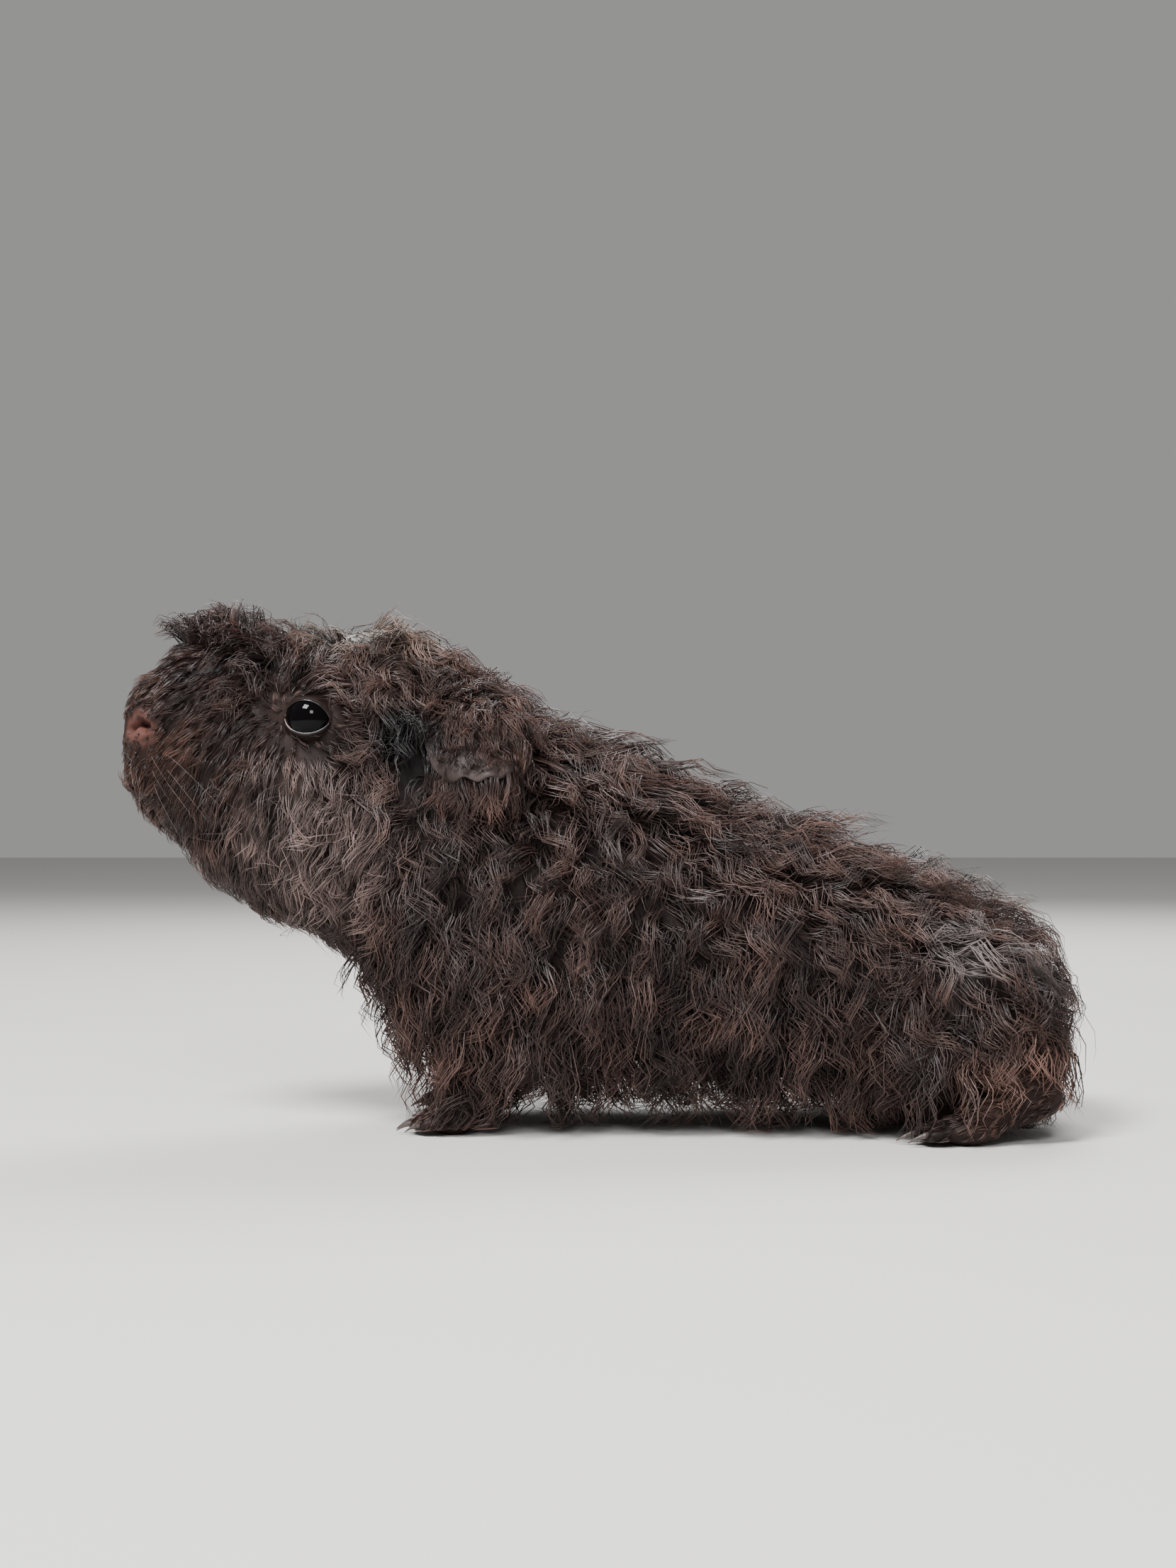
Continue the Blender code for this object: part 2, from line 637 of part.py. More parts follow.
# The planes that part the body, each as the back and belly point (x, z), in millimetres, that it passes.
BEHIND = ((120.0, 60.0), (120.0, 0.0))
RUMP_CUT = ((29.0, 49.0), (29.0, 3.0))
NECK_CUT = ((-3.0, 63.0), (-30.0, 6.0))
HEAD_CUT = ((-13.5, 71.0), (-39.0, 23.0))
AHEAD = ((-120.0, 60.0), (-120.0, 0.0))
LENGTHS = (
    ("rump", BEHIND, RUMP_CUT),
    ("torso", RUMP_CUT, NECK_CUT),
    ("neck", NECK_CUT, HEAD_CUT),
    ("head", HEAD_CUT, AHEAD),
)
SLAB_REACH = 200.0


def slab(name, near, far, cutters):
    """A wide block on the floor between two planes across the body."""
    bm = bmesh.new()
    bmesh.ops.create_cube(bm, size=1.0)
    for vert in bm.verts:
        (top_x, top_z), (low_x, low_z) = near if vert.co.x > 0 else far
        z = SLAB_REACH if vert.co.z > 0 else 0.0
        x = low_x + (top_x - low_x) * (z - low_z) / (top_z - low_z)
        y = SLAB_REACH if vert.co.y > 0 else -SLAB_REACH
        vert.co = Vector((x, y, z)) * MM
    return object_from(name, bm, cutters)


def shifted(plane, distance):
    """The same plane moved along X by a distance in metres."""
    return tuple((x + distance / MM, z) for x, z in plane)


def cut_to(part, near, far, cutters):
    """Leaves of the part what lies between two planes and above the floor."""
    block = slab("block", near, far, cutters)
    boolean(part, block, "INTERSECT")
    bpy.data.objects.remove(block)
    return keep_largest(part)


def recentre(parts):
    """Moves every mesh so that the origin is the bottom centre of the whole, and stands it on the floor."""
    points = [vert.co for part in parts.objects for vert in part.data.vertices]
    low = Vector(min(point[i] for point in points) for i in range(3))
    high = Vector(max(point[i] for point in points) for i in range(3))
    shift = Vector((-(low.x + high.x) / 2, -(low.y + high.y) / 2, -low.z))
    for part in parts.objects:
        part.data.transform(Matrix.Translation(shift))


def main():
    for obj in list(bpy.data.objects):
        bpy.data.objects.remove(obj)
    parts = new_collection("guinea_pig")
    cutters = new_collection("cutters")
    whole = coated_body(cutters)
    sides = ((1, "right"), (-1, "left"))

    for side, word in sides:
        for kind, limb in (("foreleg", FORELEG), ("hindleg", HINDLEG)):
            cut_to(leg(whole, f"{kind}_{word}", limb, side, parts), BEHIND, AHEAD, cutters)
    for side, word in sides:
        for limb in (FORELEG, HINDLEG):
            sleeve(limb, side, cutters)
    for side, word in sides:
        eyeball(side, f"eye_{word}", parts)
        eyeball(side, "socket", cutters, grow=GAP)
        ear(side, f"ear_{word}", parts)
        ear(side, "ear_room", cutters, grow=2 * GAP)
    face_openings(cutters)
    for cutter in [obj for obj in cutters.objects if obj != whole]:
        boolean(whole, cutter, "DIFFERENCE")
        bpy.data.objects.remove(cutter)

    for name, near, far in LENGTHS:
        cut_to(copy_of(whole, name, parts), shifted(near, -GAP / 2), shifted(far, GAP / 2), cutters)
    bpy.data.objects.remove(whole)
    recentre(parts)
    for part in parts.objects:
        dress(part)


if __name__ == "__main__":
    main()
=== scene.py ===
"""A young merino guinea pig, standing with its head raised, in a dark chocolate curly coat.

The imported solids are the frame. One skin takes the place of their flesh, and a coat of fine wavy
strands, gathered in locks, grows from it. It faces -X, with its left side towards the camera.
"""

import math

import bmesh
import bpy
import numpy as np
from mathutils import Matrix, Vector
from mathutils.bvhtree import BVHTree
from mathutils.kdtree import KDTree


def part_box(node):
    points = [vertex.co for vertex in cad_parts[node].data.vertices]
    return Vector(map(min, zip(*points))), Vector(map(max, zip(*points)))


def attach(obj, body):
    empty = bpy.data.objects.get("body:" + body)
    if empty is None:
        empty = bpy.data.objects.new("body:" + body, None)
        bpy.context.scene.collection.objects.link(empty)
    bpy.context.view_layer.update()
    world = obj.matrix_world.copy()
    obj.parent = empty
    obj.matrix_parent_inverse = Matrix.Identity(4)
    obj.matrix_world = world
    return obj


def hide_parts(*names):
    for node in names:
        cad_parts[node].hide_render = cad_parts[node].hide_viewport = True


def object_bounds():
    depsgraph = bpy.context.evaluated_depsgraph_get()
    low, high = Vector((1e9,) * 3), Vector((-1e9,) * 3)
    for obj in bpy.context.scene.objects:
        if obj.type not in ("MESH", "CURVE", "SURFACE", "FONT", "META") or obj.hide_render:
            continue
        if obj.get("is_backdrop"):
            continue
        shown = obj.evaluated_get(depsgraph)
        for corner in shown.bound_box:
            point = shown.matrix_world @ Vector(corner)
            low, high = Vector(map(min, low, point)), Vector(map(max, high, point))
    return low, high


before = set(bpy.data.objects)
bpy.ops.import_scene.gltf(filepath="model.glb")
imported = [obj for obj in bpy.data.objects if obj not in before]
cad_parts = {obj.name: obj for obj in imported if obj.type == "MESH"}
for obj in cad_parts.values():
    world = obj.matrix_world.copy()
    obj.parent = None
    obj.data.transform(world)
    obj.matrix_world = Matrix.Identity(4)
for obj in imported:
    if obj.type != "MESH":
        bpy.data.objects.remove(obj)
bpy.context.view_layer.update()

# The body under the coat. It is pear-shaped and low, with a short neck and a deep, blunt head, and it is
# made as a sphere drawn out through stations from the rump to the nose, with the limbs joined on, all
# melted into one skin. The stations follow the coat's surface, and the skin lies inside it.
MM = 0.001
eye_low, eye_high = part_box("eye_right")
SHIFT = Vector(((eye_low.x + eye_high.x) / 2 + 43.8 * MM, 0, 0))  # from the station's X to the frame's

# Per station, in millimetres: back line (x, z), belly line (x, z), half width over the coat, coat depth.
STATIONS = MM * np.array(
    (
        (70.5, 20.0, 70.5, 12.0, 5.0, 4.0),
        (69.5, 27.0, 70.5, 7.0, 15.0, 6.0),
        (65.5, 34.0, 67.0, 4.0, 22.0, 8.0),
        (57.0, 39.5, 58.0, 3.5, 26.0, 9.0),
        (43.0, 45.0, 44.0, 3.0, 27.5, 9.5),
        (28.0, 49.0, 27.0, 3.5, 27.0, 9.5),
        (12.0, 56.0, 9.0, 3.5, 26.5, 9.5),
        (-2.0, 62.5, -9.0, 4.0, 25.5, 9.0),
        (-13.0, 69.0, -26.0, 7.0, 23.5, 8.5),
        (-21.0, 74.5, -35.0, 19.0, 21.0, 7.5),
        (-29.0, 79.0, -44.0, 27.0, 19.5, 6.0),
        (-38.0, 81.0, -53.0, 32.0, 17.8, 4.5),
        (-47.0, 80.5, -60.5, 37.0, 15.5, 4.0),
        (-55.5, 81.8, -66.0, 42.0, 13.2, 3.5),
        (-62.8, 81.0, -70.5, 46.5, 10.8, 2.5),
        (-69.2, 75.5, -73.3, 51.0, 8.4, 1.6),
        (-73.2, 68.0, -74.8, 56.5, 5.4, 1.0),
    )
)
EGG = 0.12  # how much the sides lean out below
CREST_DEPTH = 5.5 * MM  # how deep the coat is on top of the head
CAP_SHARE = 0.03  # how much of the sphere rounds off each end
END_ROUNDING = (1.5, -0.9)  # how far each end bulges, in millimetres
SKIN_GRAIN = 0.70 * MM


def smoothstep(low, high, value):
    t = np.clip((value - low) / (high - low), 0.0, 1.0)
    return t * t * (3 - 2 * t)


def station(s):
    """The six station values at each s, from 0 at the rump to 1 at the nose."""
    last = len(STATIONS) - 1
    place = np.clip(s, 0.0, 1.0) * last
    i = np.minimum(place.astype(int), last - 1)
    t = (place - i)[:, None]
    a, b, c, d = (STATIONS[np.clip(i + k, 0, last)] for k in (-1, 0, 1, 2))
    return 0.5 * (2 * b + (c - a) * t + (2 * a - 5 * b + 4 * c - d) * t**2 + (3 * b - a - 3 * c + d) * t**3)


def skin_depth(s, angle):
    """How far the skin lies under the coat's surface."""
    coat = station(s)[:, 5]
    crown = smoothstep(0.64, 0.70, s) * (1 - smoothstep(0.93, 1.0, s))
    share = 0.62 + 0.10 * smoothstep(0.66, 0.80, s)
    return np.maximum(share * coat, CREST_DEPTH * crown * np.maximum(np.cos(angle), 0.0) ** 1.5)


def body_point(s, angle):
    """Points of the skin. The angle is 0 on the back line and 90 degrees on the right side."""
    top_x, top_z, low_x, low_z, half_width, _ = station(s).T
    inset = np.minimum(skin_depth(s, angle), 0.7 * half_width)
    middle = np.stack(((top_x + low_x) / 2, np.zeros_like(s), (top_z + low_z) / 2), 1)
    up = np.stack(((top_x - low_x) / 2, np.zeros_like(s), (top_z - low_z) / 2), 1)
    length = np.linalg.norm(up, axis=1)
    side = (half_width - inset) * np.sin(angle) * (1 - EGG * np.cos(angle))
    points = middle + up * (np.cos(angle) * (length - inset) / length)[:, None]
    points[:, 1] += side
    return points + np.array(SHIFT)


def apply_place(obj):
    """Puts the object's place, turn and scale into its mesh."""
    bpy.ops.object.transform_apply(location=True, rotation=True, scale=True)
    return obj


def blob(centre, radii, turn=(0, 0, 0), segments=32, rings=20):
    """An ellipsoid of the body. centre and radii are in millimetres, and turn in degrees."""
    bpy.ops.mesh.primitive_uv_sphere_add(
        segments=segments,
        ring_count=rings,
        radius=1.0,
        location=Vector(centre) * MM + SHIFT,
        rotation=[math.radians(a) for a in turn],
        scale=Vector(radii) * MM,
    )
    return apply_place(bpy.context.object)


def limb(start, end, start_radius, end_radius):
    """A round taper between two points, in millimetres."""
    a = Vector(start) * MM + SHIFT
    b = Vector(end) * MM + SHIFT
    bpy.ops.mesh.primitive_cone_add(
        vertices=24,
        radius1=start_radius * MM,
        radius2=end_radius * MM,
        depth=(b - a).length,
        location=(a + b) / 2,
        rotation=(b - a).to_track_quat("Z", "Y").to_euler(),
    )
    return apply_place(bpy.context.object)


bpy.ops.object.select_all(action="DESELECT")
bpy.ops.mesh.primitive_uv_sphere_add(segments=72, ring_count=110, radius=1.0)
trunk = bpy.context.object
ball = np.array([v.co for v in trunk.data.vertices])
along = np.arccos(np.clip(ball[:, 2], -1, 1)) / math.pi * (1 + 2 * CAP_SHARE) - CAP_SHARE
inside = np.clip(along, 0, 1)
past = np.minimum(np.abs(along - inside) / CAP_SHARE, 1.0)
angle = np.arctan2(ball[:, 1], ball[:, 0])
drawn = body_point(inside, angle)
middle = (body_point(inside, angle * 0) + body_point(inside, angle * 0 + math.pi)) / 2
drawn = middle + (drawn - middle) * np.sqrt(1 - past**2)[:, None]
drawn[:, 0] += past * np.where(along < 0.5, *END_ROUNDING) * MM
trunk.data.vertices.foreach_set("co", drawn.ravel())

flesh = [trunk]
for side in (1, -1):
    flesh.append(blob((-70.2, 3.0 * side, 55.8), (4.0, 4.0, 5.0)))  # whisker pad
    flesh.append(blob((-14.0, 13.0 * side, 17.0), (8.0, 6.0, 9.0)))  # shoulder
    flesh.append(limb((-14.0, 13.5 * side, 15.0), (-19.5, 14.0 * side, 4.0), 4.4, 2.7))
    flesh.append(blob((-22.0, 14.2 * side, 2.1), (4.4, 3.1, 2.6)))
    flesh.append(blob((54.0, 18.0 * side, 15.0), (13.0, 6.5, 13.0)))  # thigh
    flesh.append(limb((56.0, 22.0 * side, 12.0), (66.0, 23.5 * side, 6.6), 4.2, 2.7))
    flesh.append(limb((66.4, 23.5 * side, 6.0), (55.0, 26.0 * side, 2.6), 2.7, 2.6))
    flesh.append(blob((66.4, 23.5 * side, 6.4), (2.9, 2.7, 2.9)))
    flesh.append(blob((54.5, 26.0 * side, 1.9), (4.8, 3.7, 2.3)))
flesh.append(blob((-72.9, 0, 62.4), (2.4, 4.4, 3.2)))  # nose
flesh.append(blob((-67.4, 0, 50.2), (3.2, 3.8, 3.2)))  # chin

# The toes, four in front and three behind, short and fleshy, each a taper and a round tip that melt into
# the foot. Every toe is given by its tip, and its root lies by the ball of the foot.
FORE_TOES = ((-26.2, 11.6), (-27.4, 13.4), (-27.2, 15.3), (-25.8, 17.0))
HIND_TOES = ((49.0, 23.6), (47.8, 26.2), (49.2, 28.8))
FEET = ((-22.0, 14.2, FORE_TOES), (54.5, 26.0, HIND_TOES))
for ball_x, ball_y, toes in FEET:
    for side in (1, -1):
        for x, y in toes:
            root = (ball_x, side * (0.55 * y + 0.45 * ball_y), 2.0)
            flesh.append(limb(root, (x, side * y, 1.2), 1.4, 1.1))
            flesh.append(blob((x, side * y, 1.2), (1.4, 1.15, 1.15), segments=16, rings=10))


def select_only(pieces):
    """Selects the pieces, with the first of them as the active one."""
    bpy.ops.object.select_all(action="DESELECT")
    for piece in pieces:
        piece.select_set(True)
    bpy.context.view_layer.objects.active = pieces[0]


def one_object(pieces):
    """The pieces, joined into the first."""
    select_only(pieces)
    bpy.ops.object.join()
    return bpy.context.object


def modify(obj, kind, **settings):
    """Gives the active object a modifier with these settings, and applies it."""
    modifier = obj.modifiers.new(kind.lower(), kind)
    for name, value in settings.items():
        setattr(modifier, name, value)
    bpy.ops.object.modifier_apply(modifier=modifier.name)


skin = one_object(flesh)
skin.name = "skin"
modify(skin, "REMESH", mode="VOXEL", voxel_size=SKIN_GRAIN)
modify(skin, "SMOOTH", factor=0.5, iterations=5)


def split_finer(obj, wanted):
    """Subdivides the faces whose middles are wanted."""
    select_only([obj])
    bpy.ops.object.mode_set(mode="EDIT")
    bm = bmesh.from_edit_mesh(obj.data)
    for face in bm.faces:
        face.select_set(wanted(face.calc_center_median()))
    bmesh.update_edit_mesh(obj.data)
    bpy.ops.mesh.subdivide(number_cuts=1, smoothness=0.0)
    bpy.ops.object.mode_set(mode="OBJECT")


# The eyelids are drawn out of the skin. They fit the front of the eyeball and leave an almond-shaped
# opening, which falls a little towards the back of the head.
EYE_RADIUS = (eye_high.z - eye_low.z) / 2
EYE = (eye_low + eye_high) / 2
LID_HALF_LENGTH = 3.55 * MM
LID_HALF_HEIGHT = 2.65 * MM
LID_THICKNESS = 0.45 * MM
LID_SWELL = (1.15, 2.3)  # where the lid's swelling starts to fade and ends, in openings


def eye_frame(side):
    """The eye's own axes in the frame: X along the lids to the back, Y up, Z out of the socket."""
    look = Vector((-0.22, side, 0.08)).normalized()
    back = Vector((math.cos(math.radians(9)), 0, -math.sin(math.radians(9))))
    back = (back - look * back.dot(look)).normalized()
    up = look.cross(back) * -side
    turn = Matrix((back, up, look)).transposed().to_4x4()
    return Matrix.Translation((EYE.x, EYE.y * side, EYE.z)) @ turn


for reach in (7.5 * MM, 5.5 * MM):
    split_finer(
        skin, lambda c: (Vector((c.x, abs(c.y), c.z)) - EYE).length < reach and abs(c.y) > EYE.y - 2 * MM
    )
for side in (1, -1):
    to_frame = eye_frame(side)
    to_eye = to_frame.inverted()
    for vert in skin.data.vertices:
        if (vert.co - to_frame.translation).length > 10 * MM or vert.co.y * side < EYE.y - 4 * MM:
            continue
        p = to_eye @ vert.co
        far = math.hypot(p.x / LID_HALF_LENGTH, p.y / LID_HALF_HEIGHT)
        flat = min(math.hypot(p.x, p.y), EYE_RADIUS * 0.93)
        on_ball = math.sqrt(EYE_RADIUS**2 - flat**2)
        if far < 1.0:
            p.z = on_ball - (0.5 + 1.5 * (1 - far)) * MM
        else:
            near = 1 - float(smoothstep(*LID_SWELL, far))
            p.z += near * (max(on_ball + LID_THICKNESS, p.z) - p.z)
        vert.co = to_frame @ p

# The nostrils, the cleft of the upper lip and the line of the mouth are pressed into the muzzle.
split_finer(skin, lambda c: c.x < SHIFT.x - 67.5 * MM and 46 * MM < c.z < 67 * MM)
split_finer(skin, lambda c: c.x < SHIFT.x - 69.5 * MM and 47 * MM < c.z < 65 * MM)


def press(path, width, depth):
    """Presses a groove into the skin along a path of points, or raises a ridge where depth is negative.

    All is in millimetres, and each point is first moved to the skin.
    """
    mesh = skin.data
    places = np.zeros(len(mesh.vertices) * 3)
    mesh.vertices.foreach_get("co", places)
    places = places.reshape(-1, 3)
    outs = np.zeros(len(mesh.vertices) * 3, np.float32)
    mesh.vertex_normals.foreach_get("vector", outs)
    points = np.array(path) * MM + np.array(SHIFT)
    points = np.array([places[np.argmin(np.linalg.norm(places - point, axis=1))] for point in points])
    gap = np.full(len(places), np.inf)
    for a, b in zip(points, points[1:]):
        t = np.clip((places - a) @ (b - a) / ((b - a) @ (b - a)), 0, 1)[:, None]
        gap = np.minimum(gap, np.linalg.norm(places - (a + (b - a) * t), axis=1))
    places -= outs.reshape(-1, 3) * (depth * MM * np.exp(-((gap / (width * MM)) ** 2)))[:, None]
    mesh.vertices.foreach_set("co", places.ravel())
    mesh.update()


press(((-75.0, 0, 60.0), (-75.2, 0, 56.0), (-74.0, 0, 52.4)), 0.42, 0.8)
for side in (1, -1):
    lip = ((-74.0, 0, 52.4), (-72.8, 3.4 * side, 52.0), (-70.4, 6.0 * side, 51.2), (-68.0, 7.6 * side, 50.0))
    press(lip, 0.45, 0.8)
    wing = ((-73.4, 3.6 * side, 63.8), (-71.4, 5.6 * side, 64.6), (-69.0, 7.0 * side, 63.2))
    press(wing, 0.8, -0.55)
    sill = ((-73.2, 4.0 * side, 60.6), (-71.0, 5.8 * side, 60.2), (-69.2, 6.8 * side, 61.0))
    press(sill, 0.7, -0.4)
    nostril = ((-72.4, 4.8 * side, 61.6), (-71.0, 5.8 * side, 62.6), (-69.6, 6.6 * side, 62.0))
    press(nostril, 0.6, 1.6)
select_only([skin])
bpy.ops.object.shade_smooth()
skin_tree = BVHTree.FromObject(skin, bpy.context.evaluated_depsgraph_get())

# The colours of the animal, the same on the skin and the coat: dark chocolate, a greyer brown on the
# cheeks and the rump, a warmer brown on the crown, redder legs, a painted shade, near black, in the hollow
# before the ear and a pale parting in the whorl. They change with the place only.
COAT_BROWN = (0.041, 0.0225, 0.0185, 1.0)
PATCHES = (
    # centre in millimetres, its radius, how soft its edge is, and its colour. Each is on both sides, but
    # for the parting of the whorl, whose Y is negative.
    ((-43.0, 15.0, 43.0), 6.0, 13.0, (0.140, 0.098, 0.089, 1.0)),
    ((-34.0, 2.0, 80.0), 6.0, 11.0, (0.105, 0.070, 0.055, 1.0)),
    ((55.0, 24.0, 30.5), 3.0, 7.0, (0.108, 0.088, 0.084, 1.0)),
    ((67.0, 16.0, 25.0), 3.0, 7.0, (0.085, 0.066, 0.062, 1.0)),
    ((-68.0, 5.0, 57.0), 5.0, 9.0, (0.048, 0.022, 0.016, 1.0)),
    ((-60.0, 6.0, 71.0), 6.0, 9.0, (0.022, 0.010, 0.008, 1.0)),
    # The hollow before the ear: painted shade, near black, on the skin and the hair round it.
    ((-28.0, 18.0, 59.0), 3.3, 4.5, (0.004, 0.002, 0.002, 1.0)),
    ((-36.4, -6.0, 76.2), 1.8, 2.4, (0.50, 0.455, 0.42, 1.0)),
    ((-20.0, 22.0, 32.0), 6.0, 12.0, (0.034, 0.020, 0.017, 1.0)),
    ((64.0, 25.0, 7.0), 7.0, 8.0, (0.060, 0.032, 0.025, 1.0)),
)
def link(value, socket):
    value.id_data.links.new(value, socket)


def place_on(tree):
    """The place on the piece, from which its patterns are made."""
    return tree.nodes.new("ShaderNodeTexCoord").outputs["Object"]


def folded(place):
    """The place with its Y made positive, so that a patch is on both sides."""
    nodes = place.id_data.nodes
    split = nodes.new("ShaderNodeSeparateXYZ")
    mirror = nodes.new("ShaderNodeMath")
    mirror.operation = "ABSOLUTE"
    joined = nodes.new("ShaderNodeCombineXYZ")
    link(place, split.inputs[0])
    link(split.outputs["Y"], mirror.inputs[0])
    link(split.outputs["X"], joined.inputs["X"])
    link(mirror.outputs[0], joined.inputs["Y"])
    link(split.outputs["Z"], joined.inputs["Z"])
    return joined.outputs[0]


def from_centre(place, centre):
    """How far the place is from a centre, which is given in millimetres."""
    gap = place.id_data.nodes.new("ShaderNodeVectorMath")
    gap.operation = "DISTANCE"
    gap.inputs[1].default_value = Vector(centre) * MM + SHIFT
    link(place, gap.inputs[0])
    return gap.outputs["Value"]


def clouds(place, scale, detail):
    """A cloudy value from 0 to 1."""
    noise = place.id_data.nodes.new("ShaderNodeTexNoise")
    noise.inputs["Scale"].default_value = scale
    noise.inputs["Detail"].default_value = detail
    link(place, noise.inputs["Vector"])
    return noise.outputs["Fac"]


def mapped(value, start, end, low=0.0, high=1.0, kind="LINEAR"):
    """Goes from low to high while the value goes from start to end."""
    fade = value.id_data.nodes.new("ShaderNodeMapRange")
    fade.interpolation_type = kind
    for name, number in (("From Min", start), ("From Max", end), ("To Min", low), ("To Max", high)):
        fade.inputs[name].default_value = number
    link(value, fade.inputs["Value"])
    return fade.outputs["Result"]


def blend(share, under, over):
    """The colour under, a colour or an output, turned into the colour over by a share from 0 to 1."""
    mix = share.id_data.nodes.new("ShaderNodeMix")
    mix.data_type = "RGBA"
    first, second, result = mix.inputs[6], mix.inputs[7], mix.outputs[2]  # its colour sockets
    if isinstance(under, tuple):
        first.default_value = under
    else:
        link(under, first)
    second.default_value = over
    link(share, mix.inputs["Factor"])
    return result


def dimmed(colour, amount):
    """A colour times an amount, which is a number or an output."""
    times = colour.id_data.nodes.new("ShaderNodeVectorMath")
    times.operation = "SCALE"
    link(colour, times.inputs[0])
    if isinstance(amount, float):
        times.inputs["Scale"].default_value = amount
    else:
        link(amount, times.inputs["Scale"])
    return times.outputs["Vector"]


# The markings, with the painted shade of the hollow before the ear among them.
marks_and_shade = bpy.data.node_groups.new("cavy_marks_and_shade", "ShaderNodeTree")
marks_and_shade.interface.new_socket("Colour", in_out="OUTPUT", socket_type="NodeSocketColor")
place = place_on(marks_and_shade)
both_sides = folded(place)
blotches = clouds(place, 110, 2)
colour_now = COAT_BROWN
for centre, radius, soft, colour in PATCHES:
    wander = marks_and_shade.nodes.new("ShaderNodeMath")
    wander.operation = "MULTIPLY_ADD"
    wander.inputs[1].default_value = soft * MM
    link(blotches, wander.inputs[0])
    link(from_centre(both_sides if centre[1] > 0 else place, centre), wander.inputs[2])
    outer, inner = (radius + 1.5 * soft) * MM, (radius + 0.5 * soft) * MM
    colour_now = blend(mapped(wander.outputs[0], outer, inner, kind="SMOOTHSTEP"), colour_now, colour)
mottle = mapped(clouds(place, 150, 3), 0.35, 0.65, 0.50, 1.60)
out = marks_and_shade.nodes.new("NodeGroupOutput")
link(dimmed(colour_now, mottle), out.inputs["Colour"])


def finish(name, roughness, specular=0.5):
    """A new material and its Principled shader."""
    made = bpy.data.materials.new(name)
    made.use_nodes = True
    shader = made.node_tree.nodes["Principled BSDF"]
    shader.inputs["Roughness"].default_value = roughness
    shader.inputs["Specular IOR Level"].default_value = specular
    return made, shader


def marked(shader):
    """The colour of the markings and of the painted shade, in a finish."""
    group = shader.id_data.nodes.new("ShaderNodeGroup")
    group.node_tree = marks_and_shade
    return group.outputs["Colour"]


def let_light_in(shader, weight, reach, scale):
    """Lets light into thin skin, farthest in red. scale is in millimetres."""
    shader.inputs["Subsurface Weight"].default_value = weight
    shader.inputs["Subsurface Radius"].default_value = reach
    shader.inputs["Subsurface Scale"].default_value = scale * MM


def add_relief(shader, height, strength):
    """Fine relief, up to 0.1 mm high."""
    bump = shader.id_data.nodes.new("ShaderNodeBump")
    bump.inputs["Strength"].default_value = strength
    bump.inputs["Distance"].default_value = 0.1 * MM
    link(height, bump.inputs["Height"])
    link(bump.outputs["Normal"], shader.inputs["Normal"])


# The skin itself shows on the nose, the lips, the lids and the feet, and between the locks. It is thin and
# slightly pink where it is bare, with fine pores, and under the coat it is the markings darkened as painted
# shade of the coat's depth.
# How far the markings are darkened on the skin under the coat: painted shade of the coat's depth.
UNDERCOAT_PAINTED_SHADE = 0.3
BARE = (
    # centre in millimetres, radius, softness, colour
    ((-70.5, 5.6, 61.9), 2.7, 1.4, (0.088, 0.037, 0.030, 1.0)),
    ((-74.4, 0.0, 61.8), 1.9, 1.5, (0.085, 0.034, 0.027, 1.0)),
    # The opening of the nostril: painted shade, near black, in the pressed groove.
    ((-70.8, 5.6, 62.2), 0.6, 0.6, (0.020, 0.006, 0.005, 1.0)),
    ((-74.0, 0.0, 56.0), 1.4, 2.2, (0.085, 0.044, 0.034, 1.0)),
    ((-72.4, 3.2, 54.6), 1.4, 2.0, (0.100, 0.060, 0.048, 1.0)),
    ((-36.5, 1.8, 78.0), 0.6, 1.6, (0.260, 0.215, 0.200, 1.0)),
)
skin_finish, shader = finish("cavy_skin", 0.55, 0.14)
let_light_in(shader, 0.12, (0.6, 0.25, 0.2), 1.2)
place = place_on(shader.id_data)
both_sides = folded(place)
colour_now = dimmed(marked(shader), UNDERCOAT_PAINTED_SHADE)
for centre, radius, soft, colour in BARE:
    share = mapped(from_centre(both_sides, centre), (radius + soft) * MM, radius * MM, kind="SMOOTHSTEP")
    colour_now = blend(share, colour_now, colour)
link(colour_now, shader.inputs["Base Color"])
add_relief(shader, clouds(place, 2600, 3), 0.35)
skin.data.materials.clear()
skin.data.materials.append(skin_finish)
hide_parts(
    "head", "neck", "torso", "rump", "foreleg_left", "foreleg_right", "hindleg_left", "hindleg_right"
)
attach(skin, "root")

# The eyes are large, dark and wet, with a clear bulging front. Each is a sphere sunk between its lids,
# with its front drawn out a little.
CORNEA_BULGE = 0.035
eye_finish, shader = finish("wet_dark_eye", 0.05, 0.10)
shader.inputs["Base Color"].default_value = (0.0015, 0.0012, 0.0015, 1.0)
for side, node in ((1, "eye_right"), (-1, "eye_left")):
    bpy.ops.mesh.primitive_uv_sphere_add(segments=64, ring_count=40, radius=EYE_RADIUS)
    eyeball = bpy.context.object
    eyeball.name = node + "_ball"
    for vert in eyeball.data.vertices:
        front = vert.co.z / EYE_RADIUS
        vert.co *= 1 + CORNEA_BULGE * float(smoothstep(0.55, 1.0, front))
    eyeball.data.transform(eye_frame(side))
    if side > 0:
        eyeball.data.flip_normals()
    bpy.ops.object.shade_smooth()
    eyeball.data.materials.append(eye_finish)
    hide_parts(node)
    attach(eyeball, "root")
